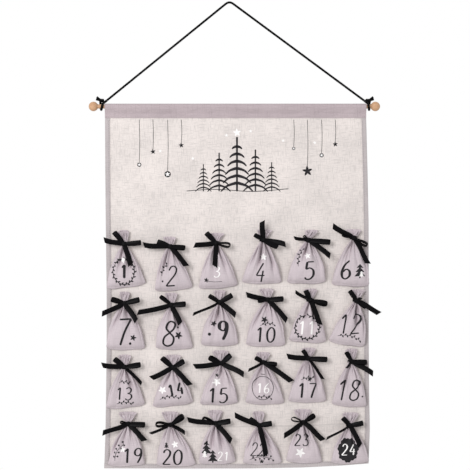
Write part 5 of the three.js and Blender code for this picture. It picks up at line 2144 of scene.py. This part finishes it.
@dataclass
class Ribbon:
    """A satin ribbon tied round a bag's neck: a gathered band, a knot, two loops and two tails."""

    bag: Bag
    width: float = 10
    thickness: float = 0.45
    reach: float = 40
    loop_depth: float = 4.2
    knot_width: float = 9.4
    knot_depth: float = 5
    knot_height: float = 9
    knot_power: float = 0.75
    slope_share: float = 0.2
    rise_share: float = 0.12
    plane: float = -13.5
    stand_off: float = 0.9
    cloth_room: float = 0.8
    knot_foot: float = -3
    rest_steps: int = 4
    loop_crown: float = 0.16
    tail_crown: float = 0.1
    tail_cut: float = 0.55
    tail_bow: float = 0.02
    tail_wave: float = 0.04
    tail_flutter: float = 0.9
    tail_twist: float = 0.8
    tail_pinch: float = 0.66
    loop_pinch: float = 0.62
    loop_bow: float = 0.04
    lean: float = 0.35
    band_height: float = 5.8
    band_fold: float = 0.22
    band_outside: float = 1.25
    band_inside: float = 0.35
    knot_fold: float = 0.07
    knot_forward: float = 0.7
    knot_tilt: float = 0.06
    rows: int = 56
    columns: int = 7

    def depth_at(self, z: Array) -> Array:
        """Depth at which an arm passes a height: it stands off the swelling bag below the knot."""
        slope = self.slope_share * np.maximum(-z, 0) + self.rise_share * np.maximum(z, 0)
        return self.plane - self.stand_off - slope

    def rested(self, line: Array, across: Array) -> Array:
        """An arm's middle line, brought forward where the bag's cloth would stand through it.

        The bag's front is read under the line and under both edges; the foremost of these over a short
        stretch, made smooth, is the least the line keeps in front of.

        Args:
            line: the middle line from the knot, (points, 3).
            across: the way across the arm at each point.

        Returns:
            The line, with new depths.
        """
        edges = line + across * self.width / 2 * np.array([-0.9, 0, 0.9])[:, None, None]
        cloth = self.bag.front(edges[..., [0, 2]])[0][..., 1].min(0) - self.bag.knot[1]
        below = np.where(line[:, 2] < self.knot_foot, cloth, 0) - self.cloth_room
        side = self.rest_steps
        span = 2 * side + 1
        foremost = np.lib.stride_tricks.sliding_window_view(np.pad(below, side, mode="edge"), span).min(1)
        smooth = np.convolve(np.pad(foremost, side, mode="edge"), np.ones(span) / span, "valid")
        line[:, 1] = np.minimum(line[:, 1], smooth)
        return line

    def pinched(self, run: Array, share: float, full: float) -> Array:
        """The ribbon's width along an arm: a share of it at the knot, all of it from a full run on."""
        return self.width * (share + (1 - share) * ramp(run, 0, full) ** 0.8)

    def strip(self, line: Array, across: Array, width: Array, crown: float, slant: float) -> Shell:
        """A ribbon along a line, crowned a little across, its end cut on a slant.

        Args:
            line: its middle line from the knot, (points, 3).
            across: the way across it at each point, unit length.
            width: its width at each point.
            crown: how far its middle stands above its edges.
            slant: how far the cut end leans, as a share of the width.

        Returns:
            The closed shell.
        """
        way = unit(np.gradient(line, axis=0))
        across = unit(across - way * np.sum(across * way, 1, keepdims=True))
        out = np.cross(way, across)
        share = np.linspace(-1, 1, self.columns)[None, :, None]
        cut = np.linspace(0, 1, len(line))[:, None, None] ** 6 * slant
        half = width[:, None, None] / 2
        middle = line[:, None] + across[:, None] * share * half + way[:, None] * cut * share * half
        middle = middle + out[:, None] * crown * (1 - share**2) * half
        offset = out[:, None] * self.thickness / 2
        return slab(middle + offset + self.bag.knot, middle - offset + self.bag.knot)

    def axes(self, end: Pair) -> tuple[float, Array, Array]:
        """Length of an arm, the way to its tip, and the way square to it along the banner.

        Args:
            end: its tip from the knot, in shares of the reach.

        Returns:
            The length and the two ways.
        """
        tip = np.array([end[0], 0, end[1]]) * self.reach
        way = unit(tip)
        return float(np.linalg.norm(tip)), way, np.array([-way[2], 0, way[0]])

    def loop(self, end: Pair, arm: Arm, width_share: float, lean: float) -> Shell:
        """One loop: out and back as a drop, a sine along the arm and a double sine across it.

        Args:
            end: its tip from the knot, in shares of the reach.
            arm: how it lies.
            width_share: its width as a share of the ribbon's.
            lean: a small turn of its own about the arm, in radians.

        Returns:
            The closed shell.
        """
        length, way, side = self.axes(end)
        turn = arm.turn + lean
        opening = (arm.loop_opening_share * length or self.loop_depth) / 2
        t = np.linspace(0.015, 0.985, self.rows)[:, None]
        run = np.sin(math.pi * t)
        apart = np.sin(TURN * t) * (0.55 + 0.45 * run)
        open_way = math.cos(turn) * FORWARD + math.sin(turn) * side
        across = math.cos(turn) * side - math.sin(turn) * FORWARD
        line = way * length * run + open_way * opening * apart + side * self.loop_bow * length * run**2
        line[:, 1] += self.depth_at(line[:, 2]) - arm.loop_swing * run[:, 0]
        ways = np.broadcast_to(across, line.shape)
        rest = self.rested(line.copy(), ways)[:, 1] - line[:, 1]
        line[:, 1] += rest.min() * ramp(run[:, 0], 0, 0.4)
        width = width_share * arm.loop_width_share * self.pinched(run[:, 0], self.loop_pinch, 0.5)
        return self.strip(line, ways, width, self.loop_crown, 0)

    def tail(self, end: Pair, arm: Arm, width_share: float, lean: float) -> Shell:
        """One tail: a bowed line that flutters forward and back, turns as it goes, and is cut on a slant.

        Args:
            end: its tip from the knot, in shares of the reach.
            arm: how it lies.
            width_share: its width as a share of the ribbon's.
            lean: its own turn and bend, in radians.

        Returns:
            The closed shell.
        """
        length, way, side = self.axes(end)
        t = np.linspace(0.03, 1, self.rows)
        bow = length * (self.tail_bow * np.sin(math.pi * t) + self.tail_wave * lean * np.sin(TURN * t))
        line = way * (length * t)[:, None] + side * bow[:, None]
        flutter = self.tail_flutter * (1 - np.cos(1.5 * math.pi * t)) * t + arm.tail_swing * t
        line[:, 1] += self.depth_at(line[:, 2]) - flutter
        turn = arm.tail_start + (arm.turn - arm.tail_start) * t
        turn = (turn + self.tail_twist * lean * np.sin(math.pi * t) * t)[:, None]
        across = np.cos(turn) * side - np.sin(turn) * FORWARD
        line = self.rested(line, across)
        width = width_share * arm.tail_width_share * self.pinched(t, self.tail_pinch, 0.2)
        return self.strip(line, across, width, self.tail_crown, math.copysign(self.tail_cut, lean))

    def band(self) -> Shell:
        """The band round the neck: an oval hoop of a flat section, drawn together in level folds.

        Returns:
            The closed shell.
        """
        angle = round_turn(64)[:, None]
        level = np.linspace(-1, 1, 9)
        fold = self.band_fold * np.cos(9 * level + 1.3 * np.sin(2 * angle)) - 0.35 * level**4
        wide, deep = self.bag.neck_width / 2, self.bag.neck_depth / 2
        loops = []
        for radius in (self.band_outside + fold, self.band_inside + 0 * fold):
            x = np.cos(angle) * (wide + radius)
            y = self.bag.neck_back - deep - np.sin(angle) * (deep + radius)
            loops.append(np.stack(np.broadcast_arrays(x, y, self.band_height / 2 * level), -1))
        rings = np.concatenate([loops[0], loops[1][:, ::-1]], 1) + self.bag.knot
        return tubes(rings[None], ring_shaped=True)

    def knot(self) -> Shell:
        """The bow's knot: a pillow whose section swells in the middle, with upright folds in its satin.

        Returns:
            The closed shell.
        """
        rise = np.linspace(-1, 1, 17)[:, None]
        angle = round_turn(40)[None]
        swell = (1 - np.abs(rise) ** 3.2) ** 0.45 * 0.86 + 0.14
        folds = 1 + self.knot_fold * np.cos(9 * angle + 0.8 * rise) * (0.5 + 0.5 * np.cos(math.pi * rise / 2))
        reach = swell * folds * (1 + 0.12 * rise**2)
        x = powered(np.cos(angle), self.knot_power) * self.knot_width / 2 * reach
        y = -powered(np.sin(angle), self.knot_power) * self.knot_depth / 2 * reach
        z = rise * self.knot_height / 2 + self.knot_tilt * x
        rings = np.stack([x, y + self.plane - self.knot_forward, z], -1) + self.bag.knot
        return tubes(rings[None])

    def make(self, finishes: Finishes) -> Piece:
        """Joins the band, the knot, the loops and the tails into one piece.

        Args:
            finishes: the materials.

        Returns:
            The piece.
        """
        ends, lies, widths = BOW_SHARES[self.bag.index]
        leans = self.bag.random.uniform(-self.lean, self.lean, 4)
        shells = [self.band(), self.knot()]
        for number, (end, lie, width, lean) in enumerate(zip(ends, lies, widths, leans)):
            make_arm = self.loop if number < 2 else self.tail
            shells.append(make_arm(end, ARMS[lie], width, float(lean)))
        name = f"ribbon_{self.bag.number}"
        return stand_in(f"{name}_satin", name, shells, [finishes.satin], 60)


# What is printed on the bags: plain figures and common ornaments, in millimetres from the knot
class Motif(Enum):
    """The ornaments that stand beside the figures."""

    STAR = "star"
    DOT = "dot"
    PINE = "pine"
    HOOP = "hoop"
    RING = "ring"
    LINE = "line"
    SPRIG = "sprig"
    BERRIES = "berries"


@dataclass(frozen=True)
class Label:
    """One bag's print: the figure's place, height, pen, ink and lean, and the ornaments round it."""

    x: float
    z: float
    height: float
    pen: Pen
    marks: tuple[tuple[Motif, Ink, float, float, float, float], ...]
    ink: Ink = Ink.BLACK
    tilt: float = 0


B, W = Ink
THIN, BRUSH, BOLD = Pen
STAR, DOT, PINE, HOOP, RING, LINE, SPRIG, BERRIES = Motif
LABELS = (
    Label(1, -52, 25, BOLD, ((RING, B, 0, -52, 20, 24), (STAR, W, -1, -30, 6.5, 0))),
    Label(4, -56, 37, THIN, ((DOT, B, -14, -66, 1.8, 1), (SPRIG, B, -16, -56, -5, -34))),
    Label(2, -54, 20, BRUSH, ((LINE, B, -16, -72, 12, -72), (STAR, B, -18, -70, 5, 0)), W),
    Label(-5, -61, 35, THIN, ((STAR, W, 0, -32, 7, 0),)),
    Label(2, -57, 33, BRUSH, ((STAR, W, -2, -30, 6, 0), (SPRIG, B, -19, -50, -11, -18))),
    Label(-15, -60, 34, BRUSH, ((PINE, B, 11, -62, 28, 0), (PINE, W, 14, -68, 12, 0))),
    Label(-1, -54, 50, THIN, ((STAR, B, 17, -65, 6.5, 0), (DOT, B, 11, -76, 2.4, 1))),
    Label(-3, -54, 46, THIN, ((STAR, B, 14, -57, 8, 0), (DOT, B, 13, -42, 2, 1))),
    Label(7, -53, 35, BOLD, ((STAR, B, -11, -40, 6, 0), (DOT, B, -19, -60, 3, 1))),
    Label(-4, -66, 28, BRUSH, ((STAR, B, -6, -38, 7, 0), (SPRIG, B, -14, -49, 12, -47))),
    Label(-6, -52, 25, BRUSH, ((RING, B, -6, -51, 23, 22),), W),
    Label(-12, -44, 36, THIN, ((SPRIG, B, -36, -66, 6, -75),)),
    Label(0, -50, 23, BRUSH, ((SPRIG, B, -15, -70, 15, -69), (SPRIG, B, -10, -29, 10, -31))),
    Label(6, -41, 22, BOLD, ((STAR, W, -19, -42, 8, 0), (SPRIG, B, -24, -60, 14, -57)), B, 0.2),
    Label(-6, -60, 28, BRUSH, ((STAR, W, -9, -35, 8.5, 0), (STAR, B, -8, -22, 4, 0))),
    Label(0, -48, 18, BRUSH, ((HOOP, B, -1, -48, 20, 0), (SPRIG, B, -14, -67, 14, -67)), W),
    Label(-2, -60, 28, BRUSH, ((SPRIG, B, -14, -40, 8, -37), (STAR, B, 2, -39, 4.5, 0))),
    Label(-5, -54, 38, THIN, ((DOT, B, 20, -66, 1.6, 1),)),
    Label(9, -60, 28, BRUSH, ((STAR, W, -10, -48, 6, 0), (BERRIES, B, -25, -70, -8, -38))),
    Label(3, -61, 29, BRUSH, ((STAR, W, 8, -37, 7, 0), (PINE, B, -8, -38, 12, 0))),
    Label(
        15,
        -62,
        17,
        BRUSH,
        ((PINE, B, -17, -46, 28, 0), (PINE, B, -5, -62, 26, 0), (PINE, W, -20, -58, 14, 0)),
        W,
    ),
    Label(-2, -45, 24, THIN, ((STAR, B, 5, -68, 5, 0), (BERRIES, B, -18, -65, 24, -63))),
    Label(-3, -33, 21, BRUSH, ((STAR, W, -6, -57, 10, 0),)),
    Label(-3, -45, 20, BRUSH, ((DOT, B, -4, -46, 19, 1.2), (DOT, B, 18, -72, 2.2, 1)), W),
)


@dataclass
class Pouch:
    """One day's bag with its ribbon and its print."""

    index: int
    finishes: Finishes

    def build(self) -> None:
        """Makes the three pieces and lets them ride on the bag's body."""
        bag = Bag(self.index)
        body = f"pouch_{bag.number}"
        for piece in (bag.make(self.finishes), Ribbon(bag).make(self.finishes)):
            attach(piece, body)
        self.label(bag).finish(f"print_{bag.number}", body, self.finishes)
        log.info("made bag, ribbon and print %s", bag.number)

    def label(self, bag: Bag) -> Print:
        """Lays the bag's figure and ornaments on its front.

        Args:
            bag: the bag that carries it.

        Returns:
            The print.
        """
        label = LABELS[self.index]
        ink = Print(bag.front)
        for motif, colour, x, z, first, second in label.marks:
            match motif:
                case Motif.STAR:
                    ink.star(x, z, first, colour, tilt=0.5 * x)
                case Motif.DOT:
                    ink.dot(x, z, first, colour, second)
                case Motif.PINE:
                    ink.pine(x, z, first, colour, layer=int(colour is Ink.WHITE))
                case Motif.HOOP:
                    ink.hoop(x, z, first, colour)
                case Motif.RING:
                    ink.ring(x, z, (first, second), colour)
                case Motif.LINE:
                    ink.stroke([(x, z), ((x + first) / 2, z - 1), (first, second)], 0.8, colour)
                case Motif.SPRIG | Motif.BERRIES:
                    ink.sprig((x, z), (first, second), colour, berries=motif is Motif.BERRIES)
        ink.figure(str(self.index + 1), label)
        return ink


def main() -> None:
    """Builds the studio, then the hanger with its cord, the banner and the 24 bags."""
    logging.basicConfig(level=logging.INFO, format="%(message)s")
    Studio().build()
    finishes = Finishes()
    Hanger(finishes).build()
    Banner(finishes).build()
    for index in range(FRAME.columns * FRAME.rows):
        Pouch(index, finishes).build()


if __name__ == "__main__":
    main()
